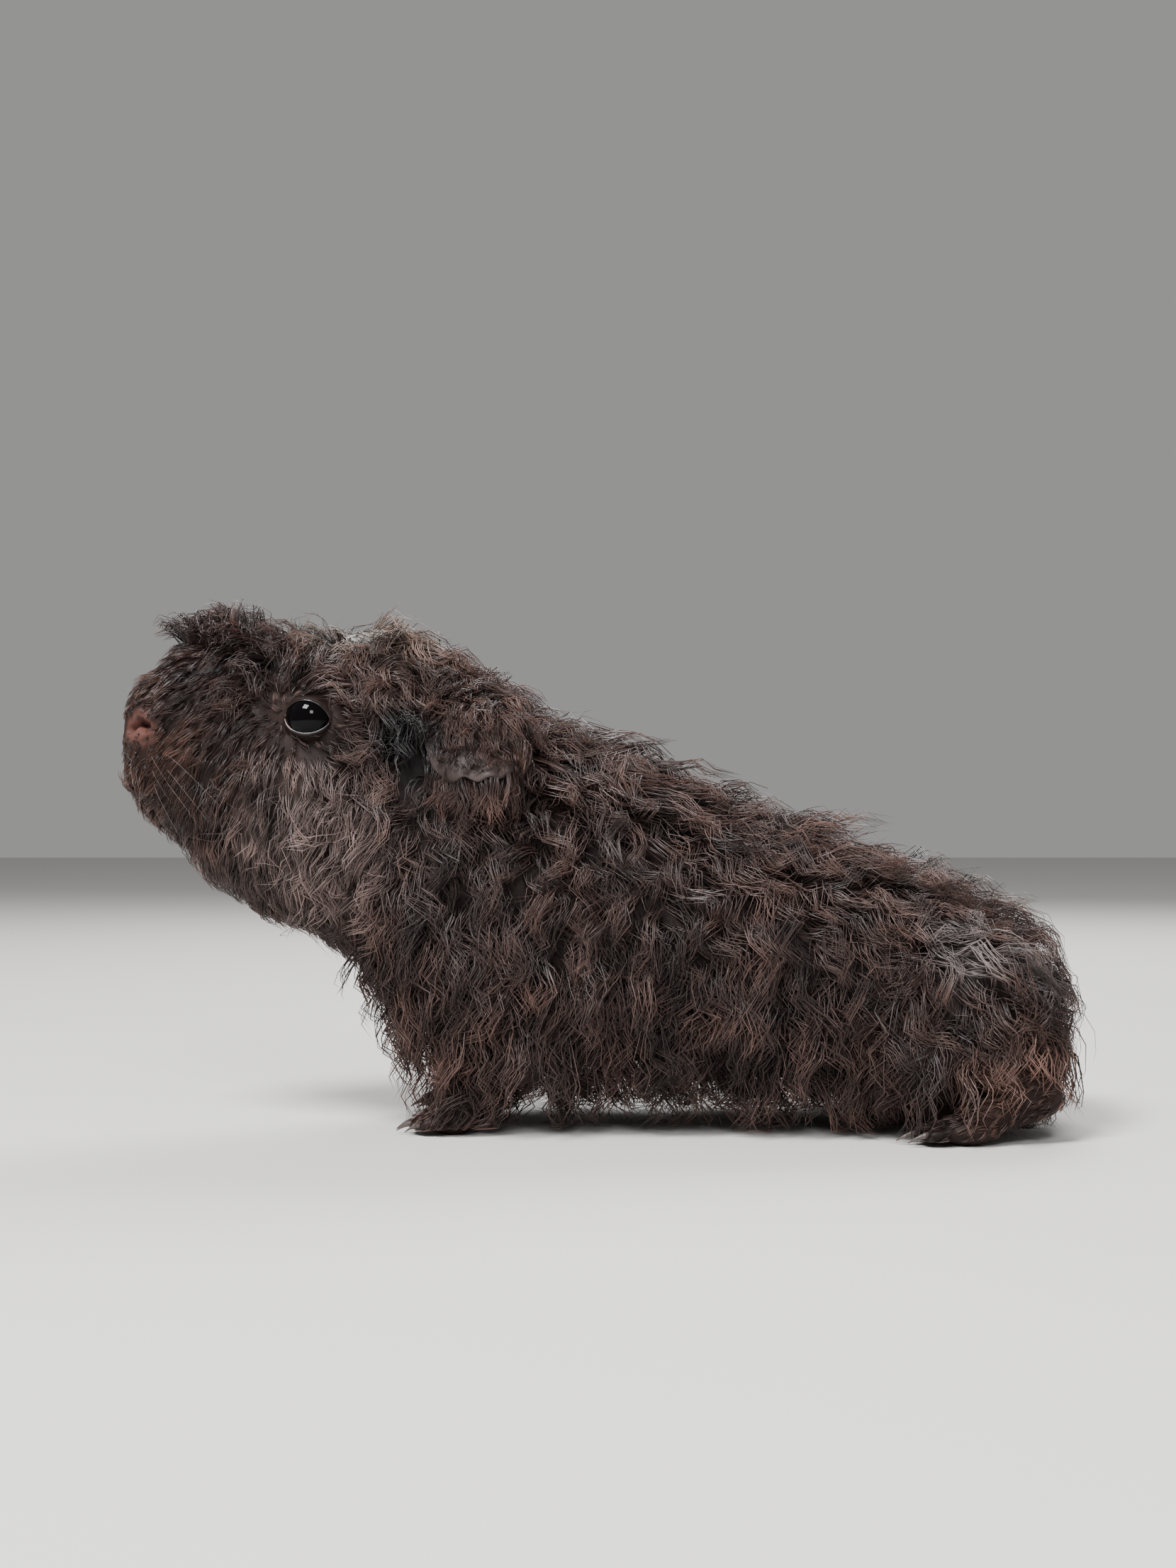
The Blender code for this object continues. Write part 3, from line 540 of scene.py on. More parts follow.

# The lid margins are thin, moist, dark rims, pale pink in the front corner, with painted shade of the brow's
# hair on the upper rim. Each is a fine ring bent to the almond of the opening and laid on the eyeball.
LID_MARGIN_RADIUS = 0.20 * MM
rim_finish, shader = finish("lid_margin", 0.28)
corner = shader.id_data.nodes.new("ShaderNodeSeparateXYZ")
link(place_on(shader.id_data), corner.inputs[0])
to_front = mapped(corner.outputs["X"], EYE.x - 2.3 * MM, EYE.x - 3.5 * MM, kind="SMOOTHSTEP")
margin = blend(to_front, (0.022, 0.019, 0.022, 1.0), (0.26, 0.18, 0.17, 1.0))
# The upper rim darkens towards the brow: painted shade of the hair over the lid.
brow_painted_shade = mapped(corner.outputs["Z"], EYE.z - 0.5 * MM, EYE.z + 1.5 * MM)
link(blend(brow_painted_shade, margin, (0.008, 0.006, 0.006, 1.0)), shader.inputs["Base Color"])
for side, word in ((1, "right"), (-1, "left")):
    bpy.ops.mesh.primitive_torus_add(
        major_segments=72, minor_segments=10, major_radius=LID_HALF_LENGTH, minor_radius=LID_MARGIN_RADIUS
    )
    rim = bpy.context.object
    rim.name = "lid_rim_" + word
    for vert in rim.data.vertices:
        x, y, z = vert.co
        turn = math.atan2(y, x)
        tube = math.hypot(x, y) - LID_HALF_LENGTH
        pointed = 1 + 0.07 * abs(math.cos(turn)) ** 6
        x = math.cos(turn) * (LID_HALF_LENGTH * pointed + tube)
        y = math.sin(turn) * (LID_HALF_HEIGHT + tube)
        flat = min(math.hypot(x, y), EYE_RADIUS * 0.95)
        vert.co = Vector((x, y, z + math.sqrt(EYE_RADIUS**2 - flat**2) + 0.16 * MM))
    rim.data.transform(eye_frame(side))
    if side > 0:
        rim.data.flip_normals()
    bpy.ops.object.shade_smooth()
    rim.data.materials.append(rim_finish)
    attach(rim, "root")

# The coat is long, soft and wavy. Fine strands grow in locks that share a wave and draw together towards
# the tip. Each strand is a closed, three-sided tapering tube, and each lock follows the skin under it.
COAT_SEED = 11
rng = np.random.default_rng(COAT_SEED)
CREST = Vector((-37.0, 0.0, 80.0)) * MM + SHIFT
coat_finish, shader = finish("curly_coat", 0.38, 0.38)
shader.inputs["Sheen Weight"].default_value = 0.03
shader.inputs["Sheen Roughness"].default_value = 0.4
strand = shader.id_data.nodes.new("ShaderNodeAttribute")
strand.attribute_name = "strand"
parts = shader.id_data.nodes.new("ShaderNodeSeparateColor")
link(strand.outputs["Color"], parts.inputs[0])
both = shader.id_data.nodes.new("ShaderNodeMath")
both.operation = "MULTIPLY"
link(mapped(parts.outputs["Red"], 0.0, 1.0, 0.28, 2.15), both.inputs[0])  # from strand to strand
# Darker at the root, as painted shade deep in the coat, and lighter towards the tip, partly the hair's own
# paler tips and partly painted highlight.
link(mapped(parts.outputs["Green"], 0.0, 1.0, 0.30, 1.50), both.inputs[1])  # from root to tip
link(dimmed(marked(shader), both.outputs[0]), shader.inputs["Base Color"])


def unit(vectors):
    return vectors / np.maximum(np.linalg.norm(vectors, axis=-1, keepdims=True), 1e-12)


def dot(a, b):
    return (a * b).sum(-1, keepdims=True)


def scatter(s_low, s_high, angle_low, angle_high, spacing):
    """Root places (s, angle) spread evenly over a stretch of the body, in jittered rows."""
    found = []
    s = s_low
    row = 0
    jitter = 0.35
    small = 0.01
    while s < s_high:
        here = np.array([s])
        level = np.array([math.pi / 2])
        ahead = body_point(here + small, level) - body_point(here, level)
        half_width = station(here)[0, 4]
        half_height = np.linalg.norm(body_point(here, here * 0) - body_point(here, here * 0 + math.pi)) / 2
        girth = math.pi * (half_width + half_height)
        count = max(4, round(girth / spacing))
        angles = (np.arange(count) + 0.5 * (row % 2) + rng.uniform(-jitter, jitter, count)) / count
        angles = 2 * math.pi * angles - math.pi
        step = spacing / (np.linalg.norm(ahead) / small)
        places = np.stack((s + rng.uniform(-jitter, jitter, count) * step, angles), 1)
        keep = (np.abs(places[:, 1]) >= angle_low) & (np.abs(places[:, 1]) <= angle_high)
        found.append(places[keep])
        s += step
        row += 1
    return np.concatenate(found).T


EYE_PLACE = np.array((EYE.x - SHIFT.x, EYE.y, EYE.z)) / MM


def local(points):
    """Points as measured from the stations' origin."""
    return points - np.array(SHIFT)


def from_eye(c):
    """How far points are from the middle of the eye on their side, in millimetres."""
    return np.linalg.norm(c * (1, 0, 1) / MM + np.abs(c) * (0, 1, 0) / MM - EYE_PLACE, axis=1)


def by_ear(c):
    """Where no hair grows: the hollow in front of the ear, whose bare skin carries a painted shade, and the
    patch that the ear lies on.
    """
    x, y, z = (c / MM).T
    hollow = np.hypot((x + 27.0) / 3.0, (z - 59.0) / 8.0) < 1
    covered = (x > -26) & (x < -14) & (z > 54) & (z < 67)
    return (hollow | covered) & (np.abs(y) > 6)


def coat_lie(points, normals):
    """The way the coat lies: down the sides, back along the spine, and out from the crest on the head."""
    x = points[:, 0] - SHIFT.x
    lean = np.clip(0.009 * x / MM, -0.55, 0.7)
    zero = np.zeros_like(x)
    sides = np.stack((lean, zero, zero - 1), 1)
    spine = np.stack((zero + 1, zero, zero - 0.35), 1)
    topness = smoothstep(0.45, 0.95, normals[:, 2])
    under = smoothstep(0.3, 0.9, -normals[:, 2]) * (1 - smoothstep(40, 58, x / MM))
    weight = np.maximum(topness, under)[:, None]
    field = sides * (1 - weight) + spine * weight
    field[:, 1] += 0.5 * np.sign(points[:, 1]) * (1 - np.abs(normals[:, 1])) * (1 - topness)
    away = points - np.array(CREST)
    near = 1 - smoothstep(0.75, 1.15, np.linalg.norm(away, axis=1) / (24 * MM))
    near = np.maximum(near, smoothstep(-34.0, -44.0, x / MM))
    lower = smoothstep(10, 30, (CREST.z - points[:, 2]) / MM)[:, None]
    away = unit(away) + 0.35 * np.stack((zero, zero, zero - 1), 1) * lower
    field = unit(field) * (1 - near[:, None]) + unit(away) * near[:, None]
    c = local(points)
    around = (1 - smoothstep(6.0, 13.0, from_eye(c)))[:, None]
    off_eye = (c / MM - EYE_PLACE * np.stack((zero + 1, np.sign(points[:, 1]), zero + 1), 1)) * (1, 0.3, 1)
    field = field * (1 - around) + (unit(off_eye) + np.array((0.75, 0, 0))) * around
    return unit(field - normals * dot(field, normals))


def guides(tree, points, normals, lies, length, lift, curl, follow, steps):
    """The middle line of each lock and the skin's normal along it, as arrays (lock, step, 3)."""
    line = np.zeros((len(points), steps + 1, 3))
    outs = np.zeros_like(line)
    for i in range(len(points)):
        at = Vector(points[i])
        out = Vector(normals[i])
        lie = Vector(lies[i])
        for k in range(steps + 1):
            t = k / steps
            if k:
                at = at + lie * (length[i] / steps)
                near, near_out = tree.find_nearest(at)[:2]
                at = at.lerp(near, follow[i])
                out = out.lerp(near_out, follow[i]).normalized()
                lie = (lie - out * lie.dot(out) * follow[i] + Vector((0, 0, -0.10))).normalized()
            rise = -0.12 + 1.12 * float(smoothstep(0.0, 0.55, t))
            line[i, k] = at + out * (lift[i] * rise + curl[i] * t * t)
            outs[i, k] = out
    return line, outs


grid_s, grid_angle = np.meshgrid(np.linspace(0, 1, 90), np.linspace(-math.pi, math.pi, 90))
places_s, places_angle = grid_s.ravel(), grid_angle.ravel()
unwrap_tree = KDTree(len(places_s))
for i, place in enumerate(body_point(places_s, places_angle)):
    unwrap_tree.insert(place, i)
unwrap_tree.balance()


def unwrapped(points):
    """Where points lie on the skin's unwrap: along the body, then round it from the belly line."""
    found = [unwrap_tree.find(Vector(point))[1] for point in points]
    return np.stack((places_s[found], (places_angle[found] + math.pi) / (2 * math.pi)), 1)


def on_skin(s, angle):
    """Roots on the skin and the way out of it there, from places (s, angle) on the body's stations."""
    found = [skin_tree.find_nearest(Vector(point))[:2] for point in body_point(s, angle)]
    return np.array([place for place, _ in found]), np.array([out for _, out in found])


def spread_on(obj, spacing, wanted):
    """Roots spread evenly over the faces of obj for which wanted(middles, outs) is true.

    Places are drawn at random, and the first in each cube of the spacing is kept.
    """
    mesh = obj.data
    middles = np.zeros(len(mesh.polygons) * 3)
    outs = np.zeros(len(mesh.polygons) * 3)
    area = np.zeros(len(mesh.polygons))
    mesh.polygons.foreach_get("center", middles)
    mesh.polygons.foreach_get("normal", outs)
    mesh.polygons.foreach_get("area", area)
    middles, outs = middles.reshape(-1, 3), outs.reshape(-1, 3)
    keep = wanted(local(middles), outs)
    middles, outs, area = middles[keep], outs[keep], area[keep]
    count = int(4 * area.sum() / spacing**2)
    chosen = rng.choice(len(area), count, p=area / area.sum())
    points = middles[chosen] + rng.uniform(-0.5, 0.5, (count, 3)) * np.sqrt(area[chosen])[:, None]
    first = np.unique(np.floor(points / spacing), axis=0, return_index=True)[1]
    return points[first], outs[chosen][first]

# The strands of one lock share its lengths, its wave and its hook, and each also has a little of its own.
# Their first roots are sunk in the skin, and strands that would cross the eye are left out.
PATCH_SIZE = 0.003  # a lock's patch on the skin's unwrap
LEAST_HEIGHT = 0.6  # above the floor, in millimetres
TIP_LOSS = 0.82  # how much thinner a strand is at its tip
EYE_CLEARANCE = 1.14  # in openings of the lids
def grow_locks(name, points, normals, look, lies=None, tree=None, scale=None):
    """Closed, tapering strands in locks, as one mesh with its strand colours and its OFBake map.

    look gives the locks' sizes in millimetres, most as a (low, high) range. scale makes some locks shorter.
    """
    if lies is None:
        lies = coat_lie(points, normals)
    roots_uv = unwrapped(points)
    scale = np.ones(len(points)) if scale is None else scale
    count = len(points)

    def draw(key):
        low, high = look[key]
        return rng.uniform(low, high, count)
    def each(values):
        """A lock's value for each of its strands."""
        return np.repeat(values, per)[:, None, None]

    per = look["strands"]
    total = count * per
    swing = draw("swing")[:, None]
    lies = unit(lies * np.cos(swing) + np.cross(normals, lies) * np.sin(swing))
    length = draw("length") * MM * scale
    rings = look["rings"]
    lift, curl = draw("lift") * MM * scale, draw("curl") * MM * scale
    line, outs = guides(
        tree or skin_tree, points, normals, lies, length, lift, curl, draw("follow"), rings
    )
    line = np.repeat(line, per, 0)
    outs = np.repeat(outs, per, 0)
    t = np.linspace(0, 1, rings + 1)[None, :, None]
    reach = each(length)
    ahead = unit(np.gradient(line, axis=1))
    across = unit(np.cross(ahead, outs))
    up = np.cross(across, ahead)

    width = each(draw("width") * MM * np.sqrt(scale))
    depth = each(draw("depth") * MM * scale)
    a = rng.uniform(-0.5, 0.5, (total, 1, 1))
    b = rng.uniform(-0.5, 0.5, (total, 1, 1))
    gather = 1 - look["gather"] * t**1.3
    wave = each(draw("wave") * MM)
    turns = 2 * math.pi * reach / (each(draw("period")) * MM)
    phase = each(rng.uniform(0, 2 * math.pi, count)) + rng.normal(0, 0.35, (total, 1, 1))
    ramp = smoothstep(0.0, 0.5, t)
    hook = each(draw("hook") * MM) * t**3
    own = rng.normal(0, look["frizz"] * MM, (total, 1, 1))
    own_phase = rng.uniform(0, 2 * math.pi, (total, 1, 1))
    roll = turns * t + phase
    own_roll = turns * 1.4 * t + own_phase
    shift = a * width * gather + hook + ramp * wave * np.sin(roll) + own * t * np.sin(own_roll)
    rise = b * depth * gather + 0.6 * ramp * wave * np.cos(roll) + 0.7 * own * t * np.cos(own_roll)
    stretch = rng.uniform(0.72, 1.0, (total, 1, 1))
    slide = line[:, :1] + (line - line[:, :1]) * stretch
    path = slide + across * shift + up * rise
    path[:, :, 2] = np.maximum(path[:, :, 2], look.get("floor", LEAST_HEIGHT) * MM)

    clear = np.ones(total, bool)
    for side in (1, -1):
        to_eye = np.array(eye_frame(side).inverted())
        by_eye = path @ to_eye[:3, :3].T + to_eye[:3, 3]
        far = np.hypot(by_eye[:, :, 0] / LID_HALF_LENGTH, by_eye[:, :, 1] / LID_HALF_HEIGHT)
        before = (by_eye[:, :, 2] > 0) & (by_eye[:, :, 2] < 12 * MM)
        clear &= ~((far < EYE_CLEARANCE) & before).any(1)
    path, outs = path[clear], outs[clear]
    owner = np.repeat(np.arange(count), per)[clear]
    total = len(path)

    ahead = unit(np.gradient(path, axis=1))
    across = unit(np.cross(ahead, outs))
    up = np.cross(across, ahead)
    thick = rng.uniform(*look["thick"], (total, 1, 1)) * MM / 2 * scale[owner][:, None, None] ** 0.35
    radius = thick * (1 - TIP_LOSS * t**2.2)
    corners = [math.radians(d) for d in (90, 210, 330)]
    ring = np.stack(
        [(path + (across * math.cos(c) + up * math.sin(c)) * radius)[:, :-1] for c in corners], 2
    )
    per_strand = rings * 3 + 1
    verts = np.concatenate((ring.reshape(total, rings * 3, 3), path[:, -1:]), 1)

    quads = []
    for r in range(rings - 1):
        for k in range(3):
            n = (k + 1) % 3
            quads.append((3 * r + k, 3 * r + n, 3 * r + 3 + n, 3 * r + 3 + k))
    tris = [(2, 1, 0)]
    for k in range(3):
        tris.append((3 * rings - 3 + k, 3 * rings - 3 + (k + 1) % 3, 3 * rings))
    base = (np.arange(total) * per_strand)[:, None]
    corners_of = np.concatenate(
        ((base + np.array(quads).ravel()[None]), (base + np.array(tris).ravel()[None])), 1
    )
    sizes = np.tile(np.array([4] * len(quads) + [3] * len(tris)), total)
    mesh = bpy.data.meshes.new(name)
    mesh.vertices.add(total * per_strand)
    mesh.vertices.foreach_set("co", verts.ravel())
    mesh.loops.add(corners_of.size)
    mesh.loops.foreach_set("vertex_index", corners_of.ravel().astype(np.int32))
    mesh.polygons.add(len(sizes))
    mesh.polygons.foreach_set("loop_start", np.concatenate(([0], np.cumsum(sizes)[:-1])).astype(np.int32))
    mesh.polygons.foreach_set("loop_total", sizes.astype(np.int32))
    mesh.polygons.foreach_set("use_smooth", np.ones(len(sizes), bool))
    mesh.update(calc_edges=True)

    steps = np.repeat(np.linspace(0, 1, rings + 1), [3] * rings + [1])
    lock_shade = rng.uniform(0.0, 1.0, count)[owner]
    strand_shade = 0.6 * lock_shade + 0.4 * rng.uniform(0, 1, total)
    colours = np.ones((total, per_strand, 4), np.float32)
    colours[:, :, 0] = strand_shade[:, None]
    colours[:, :, 1] = steps[None]
    colours[:, :, 2] = rng.uniform(0, 1, total)[:, None]
    attribute = mesh.attributes.new("strand", "FLOAT_COLOR", "POINT")
    attribute.data.foreach_set("color", colours.ravel())

    corner_shift = np.concatenate((np.tile([-1.0, 0.0, 1.0], rings), [0.0]))
    patch = PATCH_SIZE * np.stack((steps - 0.5, corner_shift / 2), 1)
    middle_uv = 0.01 + 0.98 * roots_uv[owner]
    uv = middle_uv[:, None] + patch[None]
    layer = mesh.uv_layers.new(name="OFBake")
    layer.data.foreach_set("uv", uv.reshape(-1, 2)[corners_of.ravel()].astype(np.float32).ravel())

    coat = bpy.data.objects.new(name, mesh)
    bpy.context.scene.collection.objects.link(coat)
    mesh.materials.append(coat_finish)
    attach(coat, "root")


# The back and flanks carry the longest locks. They hang down the sides in open waves and end in curls.
# They are shorter at the rump's end and over the heels, and taller on the back, most of all on its right.
LONG_LOCKS = {
    "length": (9.0, 14.5),
    "width": (2.8, 5.2),
    "depth": (1.0, 2.6),
    "lift": (1.6, 5.2),
    "curl": (-1.4, 2.2),
    "hook": (-4.0, 4.0),
    "follow": (0.65, 1.0),
    "swing": (-0.8, 0.8),
    "wave": (0.7, 1.8),
    "period": (6.0, 9.5),
    "gather": 0.6,
    "frizz": 0.5,
    "thick": (0.14, 0.28),
    "strands": 16,
    "rings": 6,
}
for word, side in (("left", -1), ("right", 1)):
    for part, low, high in (
        ("rump", 0.015, 0.24), ("flank", 0.24, 0.42), ("shoulder", 0.42, 0.56), ("neck", 0.56, 0.665),
    ):
        s, angle = scatter(low, high, 0.0, 2.3, 3.5 * MM)
        half = np.sign(angle) == side
        points, outs = on_skin(s[half], angle[half])
        c = local(points)
        x, y, z = (c / MM).T
        grows = ~by_ear(c)
        tall = 0.62 + 0.38 * smoothstep(0.0, 0.15, s[half])
        tall *= 1 - 0.45 * smoothstep(46, 54, x) * (1 - smoothstep(11, 17, z))
        tall += 0.40 * smoothstep(0.3, 0.8, outs[:, 2]) * smoothstep(42, 26, x) * smoothstep(-24, -10, x)
        tall += 0.60 * np.exp(-(((x - 34) / 9) ** 2) - ((y - 11) / 5) ** 2)
        grow_locks(f"coat_{part}_{word}", points[grows], outs[grows], LONG_LOCKS, scale=tall[grows])

# A skirt of loose locks hangs from the lower sides and the chest nearly to the floor, and shorter, softer
# hair closes the belly between the legs.
SKIRT_LOCKS = dict(
    LONG_LOCKS, length=(9.0, 12.5), lift=(0.3, 2.6), curl=(-1.5, 1.8), hook=(-2.5, 2.5), follow=(0.0, 0.25),
    swing=(-0.4, 0.4), gather=0.35, strands=14, floor=0.8,
)
for word, side in (("left", -1), ("right", 1)):
    s, angle = scatter(0.10, 0.565, 1.6, 2.75, 3.7 * MM)
    half = np.sign(angle) == side
    points, outs = on_skin(s[half], angle[half])
    fall = np.array((0.05, 0.0, -1.0)) + outs * (0.3, 0.35, 0.0)
    drop = np.clip((points[:, 2] + 3.5 * MM) / (9.5 * MM), 0.6, 1.5)
    grow_locks("coat_skirt_" + word, points, outs, SKIRT_LOCKS, lies=unit(fall), scale=drop)
BELLY_LOCKS = dict(
    LONG_LOCKS, length=(6.5, 9.5), lift=(3.5, 7.5), follow=(0.4, 0.8), hook=(-1, 1), strands=11, rings=4
)
s, angle = scatter(0.08, 0.60, 2.5, 3.2, 4.2 * MM)
grow_locks("coat_belly", *on_skin(s, angle), BELLY_LOCKS)

# The forelegs are hidden to the paws by locks of their own, which hang down round them.
FORELEG_LOCKS = dict(
    LONG_LOCKS, length=(7.0, 11.0), width=(2.4, 4.0), lift=(0.8, 2.6), curl=(-0.8, 1.2), follow=(0.3, 0.8),
    swing=(-0.4, 0.4), strands=11, rings=5, floor=0.9,
)


def foreleg(c, n):
    x, y, z = c.T
    return (x > -27 * MM) & (x < -4 * MM) & (z > 5 * MM) & (z < 17 * MM) & (np.abs(y) > 8 * MM)


points, outs = spread_on(skin, 3.0 * MM, foreleg)
fall = np.tile(np.array((-0.12, 0.0, -1.0)), (len(points), 1)) + outs * (0.35, 0.35, 0.0)
grow_locks("coat_forelegs", points, outs, FORELEG_LOCKS, lies=unit(fall))

# The crest is a whorl on the forehead. Its hair fans out all round, taller behind the whorl on the right,
# and in front it stands up as a tuft over the bridge of the nose.
CREST_LOCKS = dict(
    LONG_LOCKS, length=(7.0, 10.5), width=(1.8, 3.2), depth=(0.8, 1.6), lift=(1.4, 4.4), curl=(-0.5, 1.2),
    wave=(0.3, 0.9), period=(6.0, 9.0), strands=12, rings=5, thick=(0.12, 0.23), gather=0.4,
    swing=(-0.6, 0.6), hook=(-1.5, 1.5),
)


def crest(c, n):
    return (np.hypot(c[:, 0] / MM + 38, c[:, 1] / MM * 1.15) < 20) & (n[:, 2] > 0.35) & (c[:, 2] > 66 * MM)


points, outs = spread_on(skin, 2.3 * MM, crest)
from_whorl = np.linalg.norm((points - np.array(CREST)) * (1, 1, 0), axis=1) / MM
x, y, _ = (local(points) / MM).T
tall = 0.45 + 0.55 * smoothstep(1.0, 7.0, from_whorl)
tall = tall + 0.8 * smoothstep(1, 6, y) * np.exp(-(((x + 37) / 9) ** 2))
grow_locks("coat_crest", points, outs, CREST_LOCKS, scale=tall)
TUFT_LOCKS = dict(
    CREST_LOCKS, length=(2.5, 5.0), lift=(4.0, 7.0), curl=(-0.5, 1.0), follow=(0.3, 0.6), wave=(0.4, 1.0),
    swing=(-2.0, 2.0), gather=0.1, frizz=0.5, width=(2.4, 3.8),
)


def front_tuft(c, n):
    return (np.hypot(c[:, 0] / MM + 59.4, c[:, 1] / MM * 0.8) < 5.0) & (n[:, 2] > 0.5) & (c[:, 2] > 70 * MM)


points, outs = spread_on(skin, 1.6 * MM, front_tuft)
grow_locks("coat_tuft", points, outs, TUFT_LOCKS)

# The cheeks and jaw have straighter, finer hair that hangs down and ends in a ragged fringe.
CHEEK_LOCKS = dict(
    LONG_LOCKS, length=(5.5, 8.5), width=(1.5, 2.8), depth=(0.5, 1.2), lift=(0.8, 2.8), curl=(-0.3, 0.9),
    wave=(0.10, 0.45), period=(6.0, 10.0), strands=9, rings=4, thick=(0.11, 0.21), gather=0.4, frizz=0.25,
    swing=(-0.45, 0.45), hook=(-1.0, 1.0),
)
def cheek(c, n):
    inside = (c[:, 0] > -63 * MM) & (c[:, 0] < -30 * MM) & (c[:, 2] < 60 * MM) & (c[:, 2] > 24 * MM)
    return inside & (c[:, 2] - 0.5 * c[:, 0] < 84 * MM) & (from_eye(c) > 5.6) & ~by_ear(c)


points, outs = spread_on(skin, 2.0 * MM, cheek)
grow_locks("coat_cheeks", points, outs, CHEEK_LOCKS)

# The muzzle, brow and chin have the shortest hair, fine and close, which shortens to velvet at the nose
# and round the eyes.
FACE_HAIR = dict(
    CHEEK_LOCKS, length=(3.6, 5.6), width=(0.9, 1.8), depth=(0.3, 0.8), lift=(0.5, 1.6), curl=(-0.2, 0.5),
    wave=(0.03, 0.25), strands=7, rings=3, thick=(0.09, 0.19), frizz=0.14, hook=(-0.4, 0.4),
)
NOSE_LINE = np.array(((-74.8, 0.0, 61.8), (-70.8, 5.5, 62.2)))
LIP_LINE = np.array(((-74.8, 0.0, 60.0), (-74.6, 0.0, 55.0)))


def from_line(c, line):
    """How far points are from a line on their side of the face, in millimetres."""
    place = c * (1, 0, 1) / MM + np.abs(c) * (0, 1, 0) / MM
    a, b = line
    t = np.clip((place - a) @ (b - a) / ((b - a) @ (b - a)), 0, 1)[:, None]
    return np.linalg.norm(place - a - (b - a) * t, axis=1)


def face(c, n):
    cheeks = (c[:, 0] > -61 * MM) & (c[:, 2] < 55 * MM)
    crown = (np.hypot(c[:, 0] / MM + 38, c[:, 1] / MM * 1.15) < 16) & (n[:, 2] > 0.5)
    bare = (from_line(c, NOSE_LINE) < 2.5) | (from_line(c, LIP_LINE) < 0.8)
    return (c[:, 0] < -34 * MM) & (c[:, 2] > 44 * MM) & ~cheeks & ~crown & ~bare & ~by_ear(c)


points, outs = spread_on(skin, 1.5 * MM, face)
c = local(points)
velvet = 0.25 + 0.75 * smoothstep(2.0, 10.0, from_line(c, NOSE_LINE))
velvet *= 0.50 + 0.50 * smoothstep(4.6, 8.0, from_eye(c))
grow_locks("coat_face", points, outs, FACE_HAIR, scale=velvet)

# The feet and shanks are covered in short, flat, reddish hair that thins out over the toes.
FOOT_HAIR = dict(
    FACE_HAIR, length=(2.2, 3.8), lift=(0.2, 0.6), curl=(0.0, 0.1), strands=5, rings=3, width=(0.6, 1.2)
)


def foot(c, n):
    hind = (c[:, 0] > 46 * MM) & (np.abs(c[:, 1]) > 19 * MM)
    fore = (c[:, 0] < -16 * MM) & (c[:, 0] > -28 * MM)
    return (c[:, 2] < 11 * MM) & (c[:, 2] > 1.0 * MM) & (n[:, 2] > -0.3) & (hind | fore)


points, outs = spread_on(skin, 1.3 * MM, foot)
away = np.where(points[:, :1] > 0, (-1.0, 0.0, -0.35), (-0.7, 0.0, -0.7))
grow_locks("coat_feet", points, outs, FOOT_HAIR, lies=unit(away - outs * dot(away, outs)))

# Single fine hairs stand off the locks everywhere, curled and lying any way, and soften the outline.
LOOSE_HAIRS = dict(
    LONG_LOCKS, length=(5.0, 9.0), width=(2.0, 4.0), lift=(3.0, 6.2), curl=(-1.0, 2.0), swing=(-1.3, 1.3),
    wave=(0.5, 1.2), period=(5.0, 8.0), strands=2, rings=5, thick=(0.09, 0.15), gather=0.0, frizz=0.7,
)
points, outs = on_skin(*scatter(0.02, 0.80, 0.0, 2.2, 3.5 * MM))
grows = ~by_ear(local(points))
grow_locks("coat_loose_hairs", points[grows], outs[grows], LOOSE_HAIRS)

# The ears droop like petals from the top of the head. Each is thin, cupped skin with a bare, notched rim,
# wavy hair down its outside and a fringe under its tip.
EAR_ROOT = Vector((-20.6, 7.6, 66.2)) * MM
EAR_TIP = Vector((-15.6, 22.4, 51.8)) * MM
EAR_CUP = 3.0 * MM
EAR_THICKNESS = 0.7 * MM
EAR_NOTCH = 1.5 * MM
EAR_ROUNDING = 4.4 * MM
EAR_BOW = 1.6 * MM
EAR_RIPPLE = 0.35 * MM
# Half widths from root to tip, in millimetres.
EAR_FRONT_WIDTHS = (5.0, 7.0, 8.0, 7.8, 5.6)
EAR_REAR_WIDTHS = (5.0, 6.8, 7.0, 6.2, 4.4)
ear_finish, shader = finish("ear_skin", 0.6, 0.2)
let_light_in(shader, 0.2, (0.8, 0.35, 0.25), 1.0)
veins = clouds(place_on(shader.id_data), 420, 4)
link(blend(veins, (0.022, 0.015, 0.014, 1.0), (0.070, 0.053, 0.049, 1.0)), shader.inputs["Base Color"])
add_relief(shader, veins, 0.3)


def face_outwards(join_gaps=False):
    """Turns the faces of the object being made outwards, with its doubled points merged where asked."""
    bpy.ops.object.mode_set(mode="EDIT")
    bpy.ops.mesh.select_all(action="SELECT")
    if join_gaps:
        bpy.ops.mesh.remove_doubles(threshold=0.01 * MM)
    bpy.ops.mesh.normals_make_consistent(inside=False)
    bpy.ops.object.mode_set(mode="OBJECT")
    bpy.ops.object.shade_smooth()


